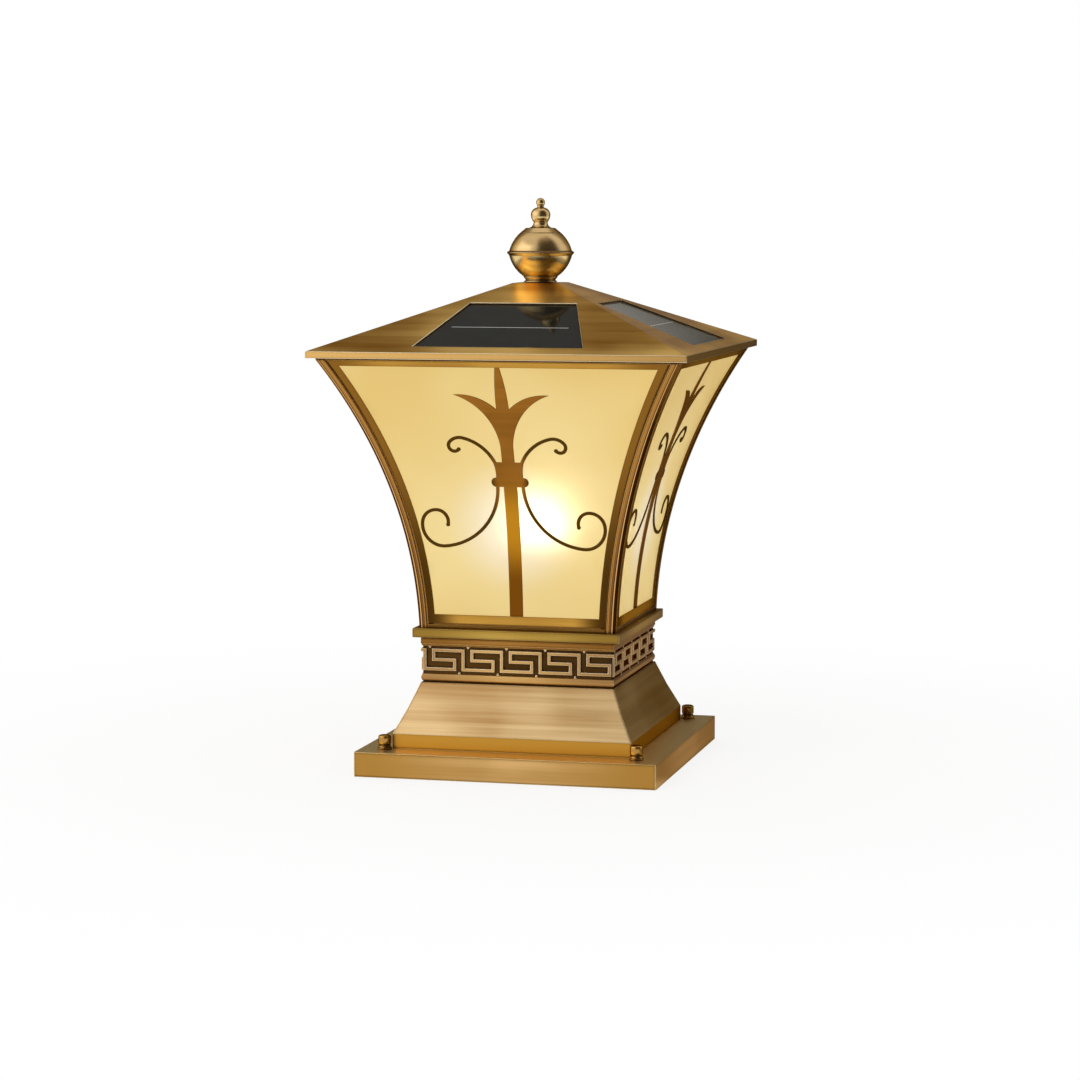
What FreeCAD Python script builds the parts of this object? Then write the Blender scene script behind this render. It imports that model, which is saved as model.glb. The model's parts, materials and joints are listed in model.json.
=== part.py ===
"""Solar pillar light: a flared, four-sided brass lantern on a stepped plinth.

Z is up, -Y is the front, +X is the right. The origin is the centre of the face that rests on the
pillar. Lengths are in millimetres.
"""
import FreeCAD, Part
import math
import os
import re

import Sketcher

Vector = FreeCAD.Vector
Rotation = FreeCAD.Rotation
Placement = FreeCAD.Placement

doc = FreeCAD.newDocument("pillar_light")

# Driving sizes

SIZES = {
    # base tray, its fixing plate and the four cap nuts
    "base_side": 243.0,
    "base_high": 19.6,
    "sheet_thick": 1.5,
    "base_opening": 130.0,
    "seam_deep": 0.6,
    "stud_inset": 19.6,
    "stud_radius": 3.0,
    "stud_fit": 0.3,
    "thread_fit": 0.05,
    "fix_inset": 11.75,
    "fix_thick": 3.0,
    "cable_radius": 35.0,
    "anchor_circle": 180.0,
    "anchor_radius": 4.5,
    "washer_radius": 5.7,
    "washer_thick": 1.4,
    "nut_radius": 4.9,
    "nut_ring_high": 1.6,
    "nut_neck_high": 0.9,
    "nut_neck_radius": 4.1,
    "nut_cap_high": 5.4,
    "nut_dome_high": 2.4,
    "nut_roof": 3.0,
    # plinth skirt
    "skirt_side": 193.6,
    "skirt_foot": 11.7,
    "skirt_high": 51.0,
    "skirt_hollow": 0.7,
    "skirt_flange": 10.0,
    "crease_share": 0.5,
    # key band
    "band_side": 157.2,
    "band_high": 36.4,
    "band_wall": 1.5,
    "relief_deep": 1.5,
    "key_count": 5,
    "key_half": 1.62,
    "key_low": 10.95,
    "key_rise": 15.1,
    "key_corner": 3.35,
    "key_taper": 18.0,
    "nub_wide": 2.6,
    "nub_high": 1.8,
    "bead_low": 1.3,
    "bead_high": 5.8,
    "bead_foot": 0.3,
    "fascia_low": 29.4,
    "fascia_high": 6.0,
    "fascia_step": 1.4,
    "fascia_step_deep": 0.6,
    # collar plate
    "collar_over": 4.1,
    "collar_high": 7.5,
    "collar_round": 0.8,
    # flared lantern body
    "foot_half": 79.9,
    "head_half": 145.0,
    "flare_radius": 445.0,
    "lantern_high": 216.1,
    "strip_wide": 6.6,
    "strip_thick": 1.5,
    "post_chamfer": 2.3,
    "groove_wide": 1.4,
    "land_wide": 12.0,
    "land_thick": 1.0,
    "frame_wide": 5.6,
    "frame_proud": 1.0,
    "sill_high": 3.0,
    "rail_gap": 1.0,
    "rail_high": 7.2,
    "head_rail": 4.5,
    "glass_thick": 3.0,
    "glass_cover": 3.0,
    "ring_thick": 1.5,
    "ring_inset": 1.5,
    # scroll ornament
    "scroll_gap": 0.1,
    "scroll_tuck": 3.0,
    "strap_wide": 2.6,
    "weld": 0.2,
    "stem_half": 5.3,
    "knob_half": 14.9,
    "knob_radius": 3.7,
    "block_half": 10.8,
    "block_high": 12.4,
    "block_flare": 1.5,
    "block_arc": 30.0,
    "neck_half": 5.0,
    "neck_long": 12.0,
    "leaf_rise": 41.6,
    "leaf_low_arc": 47.0,
    "leaf_high_arc": 42.0,
    "crotch_rise": 30.3,
    "spear_half": 1.8,
    "spear_arc": 190.0,
    "scroll_end": 1.55,
    "lower_scroll_start": 10.2,
    "lower_scroll_heading": -89.0,
    "upper_scroll_heading": 65.8,
    # roof
    "eave_side": 300.0,
    "eave_high": 5.2,
    "roof_high": 50.3,
    "crown_side": 37.2,
    "roof_sheet": 1.5,
    "gasket_thick": 1.5,
    "gasket_in_head": 7.0,
    "gasket_in_eave": 12.0,
    "gasket_wide": 16.0,
    "seat_cover": 2.0,
    "ring_cover": 4.0,
    # solar panels, measured along the slope
    "panel_rim": 12.0,
    "panel_thick": 3.0,
    "panel_cover": 4.0,
    # finial, heights above the crown
    "seal_thick": 0.6,
    "seal_radius": 10.0,
    "neck_radius": 13.2,
    "neck_high": 1.4,
    "neck_waist": 11.9,
    "neck_top": 5.0,
    "ball_seat": 13.6,
    "ball_radius": 25.2,
    "ball_wall": 1.2,
    "ball_seam": 24.1,
    "ball_top": 39.6,
    "ball_crown": 16.6,
    "ball_low_arc": 28.0,
    "ball_high_arc": 30.0,
    "seam_ring": 1.7,
    "seam_ring_high": 2.6,
    "seam_lip": 0.4,
    "seam_skirt": 2.4,
    "core_radius": 6.0,
    "cap_radius": 11.6,
    "cap_high": 4.1,
    "cap_step": 1.9,
    "tip_neck": 5.6,
    "tip_neck_high": 8.7,
    "bud_radius": 7.8,
    "bud_high": 14.6,
    "tip_waist": 2.7,
    "tip_waist_high": 20.3,
    "tip_ball": 3.6,
    "tip_high": 27.9,
    # cross bar and threaded rod
    "bar_wide": 25.0,
    "bar_thick": 4.0,
    "bar_seat": 6.0,
    "rod_radius": 4.0,
    "rod_below": 8.1,
    "rod_above": 71.0,
    "rod_nut_flats": 13.0,
    "rod_nut_high": 6.5,
    "run_gap": 0.3,
    # service deck
    "deck_side": 132.0,
    "deck_clear": 0.3,
    "deck_thick": 1.5,
    "deck_cover": 7.0,
    "deck_screw_inset": 3.5,
    "screw_radius": 2.0,
    "screw_head": 3.6,
    "screw_head_high": 2.2,
    "screw_long": 7.0,
    # lamp
    "bracket_radius": 28.0,
    "bracket_thick": 1.5,
    "bracket_boss": 15.0,
    "bracket_rise": 4.5,
    "bracket_screw_place": 22.0,
    "holder_radius": 20.0,
    "holder_mouth": 21.5,
    "holder_high": 41.0,
    "holder_floor": 14.0,
    "holder_chamber": 6.0,
    "chamber_radius": 10.0,
    "cable_bore": 2.5,
    "cap_thread": 13.2,
    "cap_thread_high": 25.0,
    "cap_contact": 5.0,
    "cap_contact_high": 2.0,
    "bulb_neck_high": 18.0,
    "bulb_shoulder": 21.0,
    "globe_radius": 24.0,
    "globe_wall": 1.2,
    # boxes under the deck
    "box_wall": 2.0,
    "battery_long": 83.0,
    "battery_wide": 44.0,
    "battery_high": 23.0,
    "battery_place": 28.0,
    "cell_radius": 9.2,
    "cell_long": 65.0,
    "control_long": 60.0,
    "control_wide": 38.0,
    "control_high": 20.0,
    "control_place": 34.0,
    "board_thick": 1.6,
    "board_gap": 5.0,
    "lid_thick": 2.0,
    # push switch
    "switch_across": 44.0,
    "switch_back": 30.0,
    "switch_radius": 7.0,
    "switch_bezel": 9.0,
    "switch_bezel_high": 2.0,
    "switch_deep": 16.0,
    "button_radius": 5.0,
    "button_long": 9.0,
    "button_proud": 3.0,
    "button_travel": 2.0,
    # cable grommet in the deck
    "grommet_inset": 7.0,
    "grommet_radius": 5.0,
    "grommet_lip": 1.6,
    "grommet_lip_high": 1.2,
    "grommet_bore": 1.75,
    # glass clips
    "glass_clip_long": 12.0,
    "glass_clip_thick": 1.2,
    "glass_clip_reach": 8.0,
    "glass_clip_gap": 0.4,
    # an overrun for every cut
    "over": 5.0,
}

# Sizes worked out from the driving ones, as sums of their names

DERIVED = {
    "base_half": "base_side / 2",
    "stud_place": "base_half - stud_inset",
    "nut_seat": "base_high + washer_thick",
    "nut_neck_low": "nut_seat + nut_ring_high",
    "nut_cap_low": "nut_neck_low + nut_neck_high",
    "nut_cap_top": "nut_cap_low + nut_cap_high",
    "nut_top": "nut_cap_top + nut_dome_high",
    "stud_top": "nut_top - nut_roof",
    "skirt_half": "skirt_side / 2",
    "skirt_shoulder": "base_high + skirt_foot",
    "skirt_top": "base_high + skirt_high",
    "skirt_mid": "skirt_shoulder + (skirt_top - skirt_shoulder) * crease_share",
    "band_half": "band_side / 2",
    "skirt_mid_half": "skirt_half + (band_half - skirt_half) * crease_share - skirt_hollow",
    "tube_half": "band_half - relief_deep",
    "tube_inner": "tube_half - band_wall",
    "band_top": "skirt_top + band_high",
    "key_bottom": "skirt_top + key_low",
    "key_top": "key_bottom + key_rise",
    "key_mid": "(key_bottom + key_top) / 2",
    "key_pitch": "band_side / key_count",
    "key_start": "key_corner - band_half",
    "collar_top": "band_top + collar_high",
    "collar_half": "max(band_half; foot_half) + collar_over",
    "lantern_top": "collar_top + lantern_high",
    "post_top": "lantern_top - ring_thick",
    "flare_spread": "head_half - foot_half",
    "flare_chord": "sqrt(flare_spread ^ 2 + lantern_high ^ 2)",
    "flare_lean": "sqrt(flare_radius ^ 2 - flare_chord ^ 2 / 4)",
    "flare_x": "(foot_half + head_half) / 2 + flare_lean * lantern_high / flare_chord",
    "flare_z": "collar_top + lantern_high / 2 - flare_lean * flare_spread / flare_chord",
    "frame_edge": "strip_wide + groove_wide",
    "window_edge": "frame_edge + frame_wide",
    "frame_face": "strip_thick - frame_proud",
    "land_back": "strip_thick + land_thick",
    "glass_back": "land_back + glass_thick",
    "deck_half": "min(deck_side / 2; foot_half - glass_back - deck_clear)",
    "collar_gap": "deck_half - deck_cover",
    "grommet_place": "collar_gap - grommet_inset",
    "glass_edge": "land_wide - glass_cover",
    "sill_top": "collar_top + sill_high",
    "rail_low": "sill_top + rail_gap",
    "window_low": "rail_low + rail_high",
    "window_high": "post_top - head_rail",
    "window_rise": "window_high - window_low",
    "scroll_back": "land_back - scroll_gap",
    "knob_low": "window_low + window_rise * 0.5224",
    "knob_mid": "knob_low + knob_radius",
    "knob_top": "knob_low + knob_radius * 2",
    "block_top": "knob_top + block_high",
    "neck_end": "block_top + neck_long",
    "leaf_tip": "neck_end + leaf_rise",
    "knob_span": "flare_x - sqrt((flare_radius + window_edge) ^ 2 - (knob_low - flare_z) ^ 2)",
    "leaf_span": "flare_x - sqrt((flare_radius + window_edge) ^ 2 - (leaf_tip - flare_z) ^ 2)",
    "lower_scroll": "knob_span * 0.587",
    "upper_scroll": "knob_span * 0.4132",
    "leaf_reach": "leaf_span * 0.3337",
    "crotch_up": "neck_end + crotch_rise",
    "eave_half": "eave_side / 2",
    "far_out": "head_half + eave_half",
    "eave_top": "lantern_top + eave_high",
    "crown_half": "crown_side / 2",
    "crown_top": "eave_top + roof_high",
    "roof_run": "eave_half - crown_half",
    "slope_long": "sqrt(roof_run ^ 2 + roof_high ^ 2)",
    "panel_long": "slope_long * 0.622",
    "panel_low_half": "(eave_half - panel_rim) * 0.4877",
    "panel_high_half": "panel_low_half * 0.642",
    "sheet_drop": "roof_sheet * slope_long / roof_run",
    "cavity_half": "eave_half - roof_sheet",
    "cavity_top": "crown_top - roof_sheet",
    "cavity_crown": "crown_half + (roof_sheet - sheet_drop) * roof_run / roof_high",
    "cavity_eave": "eave_top - sheet_drop + roof_sheet * roof_high / roof_run",
    "gasket_half": "min(head_half - gasket_in_head; eave_half - gasket_in_eave)",
    "seat_half": "gasket_half - gasket_wide - seat_cover",
    "ring_half": "gasket_half - gasket_wide - ring_cover",
    "seat_low": "lantern_top + gasket_thick",
    "seat_high": "seat_low + roof_sheet",
    "bar_half": "ring_half + bar_seat",
    "bar_low": "post_top - bar_thick",
    "rod_low": "bar_low - rod_below",
    "rod_top": "post_top + rod_above",
    "deck_top": "collar_top + deck_thick",
    "deck_screw_place": "deck_half - deck_screw_inset",
    "bracket_top": "deck_top + bracket_rise",
    "holder_top": "bracket_top + holder_high",
    "cap_low": "bracket_top + holder_floor",
    "cap_seat": "cap_low + cap_contact_high",
    "cap_top": "cap_seat + cap_thread_high",
    "bulb_top": "cap_top + bulb_neck_high",
    "globe_up": "bulb_top + sqrt(globe_radius ^ 2 - bulb_shoulder ^ 2)",
    "battery_low": "collar_top - battery_high",
    "battery_floor": "battery_low + lid_thick",
    "control_low": "collar_top - control_high",
    "control_floor": "control_low + lid_thick",
    "button_top": "deck_top + switch_bezel_high + button_proud",
    "button_low": "button_top - button_long",
}


def fill_sheet(name, rows):
    """A sheet with one named cell for each row."""
    sheet = doc.addObject("Spreadsheet::Sheet", name)
    for number, (alias, content) in enumerate(rows.items(), start=1):
        sheet.set("A%d" % number, alias)
        sheet.set("B%d" % number, str(content))
        sheet.setAlias("B%d" % number, alias)
    return sheet


def with_prefix(text, names, prefix):
    """The sum with each of the names written as a cell of another sheet."""
    def cell(match):
        word = match.group()
        return prefix + word if word in names else word
    return re.sub(r"[a-z][a-z_]*", cell, text)


sizes = fill_sheet("Sizes", SIZES)
derived = fill_sheet(
    "Derived",
    {alias: "=" + with_prefix(content, SIZES, "Sizes.") for alias, content in DERIVED.items()},
)
doc.recompute()


def bound(text):
    """A sum of size names, written as an expression on the two sheets."""
    return with_prefix(with_prefix(text, SIZES, "Sizes."), DERIVED, "Derived.")


def measure(text):
    """The value of a sum of size names."""
    return float(sizes.evalExpression(bound(text)))


def flare(offset, height):
    """Half-width of the lantern at a height, on the arc that lies offset inside the outer skin."""
    return "(flare_x - sqrt((flare_radius + %s) ^ 2 - (%s - flare_z) ^ 2))" % (offset, height)


# Sketches

TURNS = {
    "XY_Plane": Rotation(),
    "XZ_Plane": Rotation(Vector(1, 0, 0), 90),
    "YZ_Plane": Rotation(Vector(1, 1, 1), 120),
}


def draw_outline(sketch, corners):
    """Draw a closed outline and tie it to the size names.

    A corner is (across, up), or (across, up, radius, side) where an arc leaves it: the centre of
    the arc lies to the left of the way round when side is 1, and to the right when it is -1.
    """
    places = [Vector(measure(corner[0]), measure(corner[1]), 0) for corner in corners]
    edges = []
    for index, corner in enumerate(corners):
        start = places[index]
        end = places[(index + 1) % len(places)]
        if len(corner) == 2:
            edges.append((sketch.addGeometry(Part.LineSegment(start, end), False), 1, 2))
            continue
        radius = measure(corner[2])
        side = corner[3]
        chord = end - start
        left = Vector(-chord.y, chord.x, 0).normalize()
        rise = math.sqrt(max(radius ** 2 - (chord.Length / 2) ** 2, 0))
        centre = start + chord * 0.5 + left * (side * rise)
        first, last = (start, end) if side > 0 else (end, start)
        from_angle = math.atan2(first.y - centre.y, first.x - centre.x)
        to_angle = math.atan2(last.y - centre.y, last.x - centre.x)
        arc = Part.ArcOfCircle(Part.Circle(centre, Vector(0, 0, 1), radius), from_angle, to_angle)
        number = sketch.addGeometry(arc, False)
        edges.append((number, 1, 2) if side > 0 else (number, 2, 1))
        constraint = sketch.addConstraint(Sketcher.Constraint("Radius", number, radius))
        sketch.setExpression("Constraints[%d]" % constraint, bound(corner[2]))
    for index, corner in enumerate(corners):
        number, start_end, _ = edges[index]
        before, _, before_end = edges[index - 1]
        sketch.addConstraint(Sketcher.Constraint("Coincident", before, before_end, number, start_end))
        for kind, text, value in (("DistanceX", corner[0], places[index].x),
                                  ("DistanceY", corner[1], places[index].y)):
            constraint = sketch.addConstraint(
                Sketcher.Constraint(kind, -1, 1, number, start_end, value))
            sketch.setExpression("Constraints[%d]" % constraint, bound(text))


def draw_circle(sketch, across, up, radius):
    """Draw a circle and tie it to the size names."""
    centre = Vector(measure(across), measure(up), 0)
    circle = Part.Circle(centre, Vector(0, 0, 1), measure(radius))
    number = sketch.addGeometry(circle, False)
    for kind, text, value, place in (("DistanceX", across, centre.x, (-1, 1, number, 3)),
                                     ("DistanceY", up, centre.y, (-1, 1, number, 3)),
                                     ("Radius", radius, measure(radius), (number,))):
        constraint = sketch.addConstraint(Sketcher.Constraint(kind, *place, value))
        sketch.setExpression("Constraints[%d]" % constraint, bound(text))


def draw(sketch, shapes):
    """Draw outlines (lists of corners) and circles (tuples of three sums)."""
    for shape in shapes:
        if isinstance(shape, tuple):
            draw_circle(sketch, *shape)
        else:
            draw_outline(sketch, shape)
    return sketch


def body_sketch(body, plane, shapes, shift=None):
    """A sketch on one of the body's own planes, shifted along the plane's normal."""
    sketch = body.newObject("Sketcher::SketchObject", body.Name + "_sketch")
    origin_plane = [part for part in body.Origin.OriginFeatures if part.Role == plane][0]
    sketch.AttachmentSupport = [(origin_plane, "")]
    sketch.MapMode = "FlatFace"
    if shift:
        sketch.setExpression("AttachmentOffset.Base.z", bound(shift))
    return draw(sketch, shapes)


def free_sketch(name, plane, shapes):
    """A sketch through the origin that a plain extrusion uses."""
    sketch = doc.addObject("Sketcher::SketchObject", name + "_sketch")
    sketch.Placement = Placement(Vector(), TURNS[plane])
    return draw(sketch, shapes)


def rectangle(left, low, right, high):
    """The corners of a rectangle."""
    return [(left, low), (right, low), (right, high), (left, high)]


def square(half):
    """The corners of a square about the axis."""
    return rectangle("-(%s)" % half, "-(%s)" % half, half, half)


# Features of a body

nodes = {}


def keep(label, thing):
    """Name a finished piece: its label is the name of its file."""
    thing.Label = label
    nodes[label] = thing
    return thing


def new_body(name):
    return doc.addObject("PartDesign::Body", name)


def pad(body, sketch, length, both=False, back=False, taper=None):
    """Raise a sketch by a length, about its plane where both is set."""
    feature = body.newObject("PartDesign::Pad", body.Name + "_pad")
    feature.Profile = sketch
    feature.setExpression("Length", bound(length))
    feature.SideType = "Symmetric" if both else "One side"
    feature.Reversed = back
    if taper:
        feature.setExpression("TaperAngle", bound("-" + taper))
    sketch.Visibility = False
    return feature


def pocket(body, sketch, length, both=False, back=False):
    """Cut a sketch down by a length, or about its plane where both is set."""
    feature = body.newObject("PartDesign::Pocket", body.Name + "_pocket")
    feature.Profile = sketch
    feature.setExpression("Length", bound(length))
    feature.SideType = "Symmetric" if both else "One side"
    feature.Reversed = back
    return feature


def block(body, shapes, low, high, plane="XY_Plane"):
    """Pad flat outlines between two levels."""
    return pad(body, body_sketch(body, plane, shapes, low), "%s - (%s)" % (high, low))


def cut_block(body, shapes, low, high, plane="XY_Plane"):
    """Cut flat outlines away between two levels."""
    return pocket(body, body_sketch(body, plane, shapes, low), "%s - (%s)" % (high, low), back=True)


def turned(body, corners, kind="PartDesign::Revolution"):
    """Turn a half section (radius, height) about the axis."""
    sketch = body_sketch(body, "XZ_Plane", [corners])
    feature = body.newObject(kind, body.Name + "_turn")
    feature.Profile = sketch
    feature.ReferenceAxis = (sketch, ["V_Axis"])
    feature.Angle = 360
    return feature


def frustum(body, levels, kind="PartDesign::AdditiveLoft"):
    """A loft with flat sides through squares, each given as (half, height)."""
    sketches = [body_sketch(body, "XY_Plane", [square(half)], level) for half, level in levels]
    feature = body.newObject(kind, body.Name + "_loft")
    feature.Profile = sketches[0]
    feature.Sections = sketches[1:]
    feature.Ruled = True
    return feature


def moulding(body, half, section):
    """A moulding with mitred corners, its section (out, height) swept round a square."""
    left = "-(%s)" % half
    path = body_sketch(body, "XY_Plane",
                       [[(left, "0"), (left, left), (half, left), (half, half), (left, half)]])
    corners = [("-(%s) - (%s)" % (half, corner[0]),) + tuple(corner[1:]) for corner in section]
    profile = body_sketch(body, "XZ_Plane", [corners])
    feature = body.newObject("PartDesign::AdditivePipe", body.Name + "_pipe")
    feature.Profile = profile
    feature.Spine = (path, ["Edge%d" % (number + 1) for number in range(5)])
    feature.Transition = "Right corner"
    return feature


def around(body, features, count):
    """Repeat features about the vertical axis."""
    doc.recompute()
    pattern = body.newObject("PartDesign::PolarPattern", body.Name + "_around")
    pattern.Originals = features
    axis = [part for part in body.Origin.OriginFeatures if part.Role == "Z_Axis"][0]
    pattern.Axis = (axis, [""])
    pattern.Angle = 360
    pattern.Occurrences = count
    body.Tip = pattern
    return pattern


# Plain solids and their booleans

def prism(name, plane, shapes, low, high):
    """Extrude outlines between two distances from their plane."""
    solid = doc.addObject("Part::Extrusion", name)
    solid.Base = free_sketch(name, plane, shapes)
    solid.DirMode = "Normal"
    solid.Solid = True
    solid.setExpression("LengthFwd", bound(high))
    solid.setExpression("LengthRev", bound("-(%s)" % low))
    return solid


def common(name, *things):
    result = doc.addObject("Part::MultiCommon", name)
    result.Shapes = list(things)
    return result


def fused(name, *things):
    result = doc.addObject("Part::MultiFuse", name)
    result.Shapes = list(things)
    return result


def cut(name, base, tool):
    result = doc.addObject("Part::Cut", name)
    result.Base = base
    result.Tool = tool
    return result


def tube(name, radius, low, high, across="0", back="0", bore=None):
    """An upright cylinder, with a bore right through it where one is given."""
    def rod(part, size, start, end):
        cylinder = doc.addObject("Part::Cylinder", part)
        cylinder.setExpression("Radius", bound(size))
        cylinder.setExpression("Height", bound("%s - (%s)" % (end, start)))
        cylinder.setExpression("Placement.Base.x", bound(across))
        cylinder.setExpression("Placement.Base.y", bound(back))
        cylinder.setExpression("Placement.Base.z", bound(start))
        return cylinder
    outer = rod(name, radius, low, high)
    if not bore:
        return outer
    inner = rod(name + "_bore", bore, "%s - over" % low, "%s + over" % high)
    return cut(name + "_bored", outer, inner)


def box(name, left, front, low, right, back, high):
    """A box between two opposite corners."""
    solid = doc.addObject("Part::Box", name)
    for edge, start, end in (("Length", left, right), ("Width", front, back), ("Height", low, high)):
        solid.setExpression(edge, bound("%s - (%s)" % (end, start)))
    for axis, start in (("x", left), ("y", front), ("z", low)):
        solid.setExpression("Placement.Base." + axis, bound(start))
    return solid


def turned_copy(name, things, angle):
    """The same pieces turned about the vertical axis."""
    copy = doc.addObject("Part::Compound", name)
    copy.Links = list(things)
    copy.Placement = Placement(Vector(), Rotation(Vector(0, 0, 1), angle))
    return copy


QUARTER_TURN = 90.0
SIDES = ("front", "right", "back", "left")
CORNERS = ("front_right", "back_right", "back_left", "front_left")


def quarter_turns(places):
    """Each place with the angle that its pieces are turned by, counted from the first place."""
    return [(place, count * QUARTER_TURN) for count, place in enumerate(places)]


def four_nodes(stem, master):
    """Keep one node for each side of the lamp."""
    for side, angle in quarter_turns(SIDES):
        keep("%s_%s" % (stem, side), turned_copy("%s_%s" % (stem, side), [master], angle))


def group(label, things):
    """Keep separate solids as one node."""
    node = doc.addObject("Part::Compound", label)
    node.Links = list(things)
    return keep(label, node)


def four_copies(label, things):
    """Keep pieces and their three turned copies as one node."""
    copies = [turned_copy("%s_%s" % (label, side), things, angle) for side, angle in quarter_turns(SIDES)]
    group(label, copies)


# Base: fixing plate, studs, tray, washers and cap nuts

def make_base():
    plate = new_body("fixing_plate")
    block(plate, [square("base_half - fix_inset"), ("0", "0", "cable_radius")], "0", "fix_thick")
    place = "anchor_circle / 2 * sqrt(0.5)"
    hole = cut_block(plate, [(place, place, "anchor_radius")], "-over", "fix_thick + over")
    around(plate, [hole], 4)
    keep("fixing_plate", plate)

    stud = tube("stud", "stud_radius", "fix_thick", "stud_top", "stud_place", "stud_place")
    four_copies("fixing_studs", [stud])

    tray = new_body("base_tray")
    block(tray, [square("base_half")], "0", "base_high")
    cut_block(tray, [square("base_half - sheet_thick")], "-over", "base_high - sheet_thick")
    opening = [square("base_opening / 2")]
    cut_block(tray, opening, "0", "base_high + over")
    hole = cut_block(tray, [("stud_place", "stud_place", "stud_radius + stud_fit")],
                     "0", "base_high + over")
    seam = cut_block(tray, [rectangle("base_half - seam_deep", "base_half - seam_deep",
                                      "base_half + over", "base_half + over")],
                     "-over", "base_high + over")
    around(tray, [hole, seam], 4)
    keep("base_tray", tray)

    washer = tube("washer", "washer_radius", "base_high", "nut_seat", "stud_place", "stud_place",
                  "stud_radius + stud_fit")
    four_copies("base_washers", [washer])

    nut = new_body("cap_nut")
    bore = "stud_radius + thread_fit"
    turned(nut, [
        (bore, "nut_seat"),
        ("nut_radius", "nut_seat"),
        ("nut_radius", "nut_neck_low"),
        ("nut_neck_radius", "nut_neck_low"),
        ("nut_neck_radius", "nut_cap_low"),
        ("nut_radius", "nut_cap_low"),
        ("nut_radius", "nut_cap_top", "nut_radius * 0.9", 1),
        ("nut_radius * 0.5", "nut_top"),
        ("0", "nut_top"),
        ("0", "stud_top"),
        (bore, "stud_top"),
    ])
    nut.setExpression("Placement.Base.x", bound("stud_place"))
    nut.setExpression("Placement.Base.y", bound("stud_place"))
    four_copies("cap_nuts", [nut])


# Plinth: skirt, key band with its mouldings, and collar

def key_unit():
    """One unit of the running key: down, right, up, back, up and on to the next unit."""
    start = "key_start"
    near = "(key_start + key_pitch * 0.23)"
    far = "(key_start + key_pitch * 0.78)"
    end = "(key_start + key_pitch)"
    return [
        (start + " - key_half", "key_top + key_half"),
        (start + " - key_half", "key_bottom - key_half"),
        (far + " + key_half", "key_bottom - key_half"),
        (far + " + key_half", "key_mid + key_half"),
        (near + " + key_half", "key_mid + key_half"),
        (near + " + key_half", "key_top - key_half"),
        (end + " + key_half", "key_top - key_half"),
        (end + " + key_half", "key_top + key_half"),
        (near + " - key_half", "key_top + key_half"),
        (near + " - key_half", "key_mid - key_half"),
        (far + " - key_half", "key_mid - key_half"),
        (far + " - key_half", "key_bottom + key_half"),
        (start + " + key_half", "key_bottom + key_half"),
        (start + " + key_half", "key_top + key_half"),
    ]


def key_nubs():
    """Two small points in each unit, one under the fascia and one on the bead."""
    upper = "(key_start + key_pitch * 0.125)"
    lower = "(key_start + key_pitch * 0.9)"
    ceiling = "skirt_top + fascia_low"
    floor = "skirt_top + bead_low + bead_high"
    return [
        [(upper + " - nub_wide / 2", ceiling), (upper + " - nub_wide / 6", ceiling + " - nub_high"),
         (upper + " + nub_wide / 6", ceiling + " - nub_high"), (upper + " + nub_wide / 2", ceiling)],
        [(lower + " - nub_wide / 2", floor), (lower + " + nub_wide / 2", floor),
         (lower + " + nub_wide / 6", floor + " + nub_high"),
         (lower + " - nub_wide / 6", floor + " + nub_high")],
    ]


def make_key_relief():
    """The raised key on the front of the band, mitred where it runs round the corners."""
    relief = new_body("key_relief")
    unit = pad(relief, body_sketch(relief, "XZ_Plane", [key_unit()], "tube_half"), "relief_deep",
               taper="key_taper")
    nubs = pad(relief, body_sketch(relief, "XZ_Plane", key_nubs(), "tube_half"), "relief_deep / 2")
    doc.recompute()
    row = relief.newObject("PartDesign::LinearPattern", "key_row")
    row.Originals = [unit, nubs]
    x_axis = [part for part in relief.Origin.OriginFeatures if part.Role == "X_Axis"][0]
    row.Direction = (x_axis, [""])
    row.Mode = "Spacing"
    row.setExpression("Offset", bound("key_pitch"))
    row.setExpression("Occurrences", bound("key_count"))
    relief.Tip = row
    stub = rectangle("-band_half - key_half", "key_top - key_half",
                     "key_start + key_half", "key_top + key_half")
    pad(relief, body_sketch(relief, "XZ_Plane", [stub], "tube_half"), "relief_deep",
        taper="key_taper")
    far = "band_half + key_pitch"
    mitres = [
        [("tube_half - over", "over - tube_half"), (far, "-(%s)" % far), (far, "over - tube_half")],
        [("over - tube_half", "over - tube_half"), ("-(%s)" % far, "over - tube_half"),
         ("-(%s)" % far, "-(%s)" % far)],
    ]
    cut_block(relief, mitres, "skirt_top", "band_top")
    return relief


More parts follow.
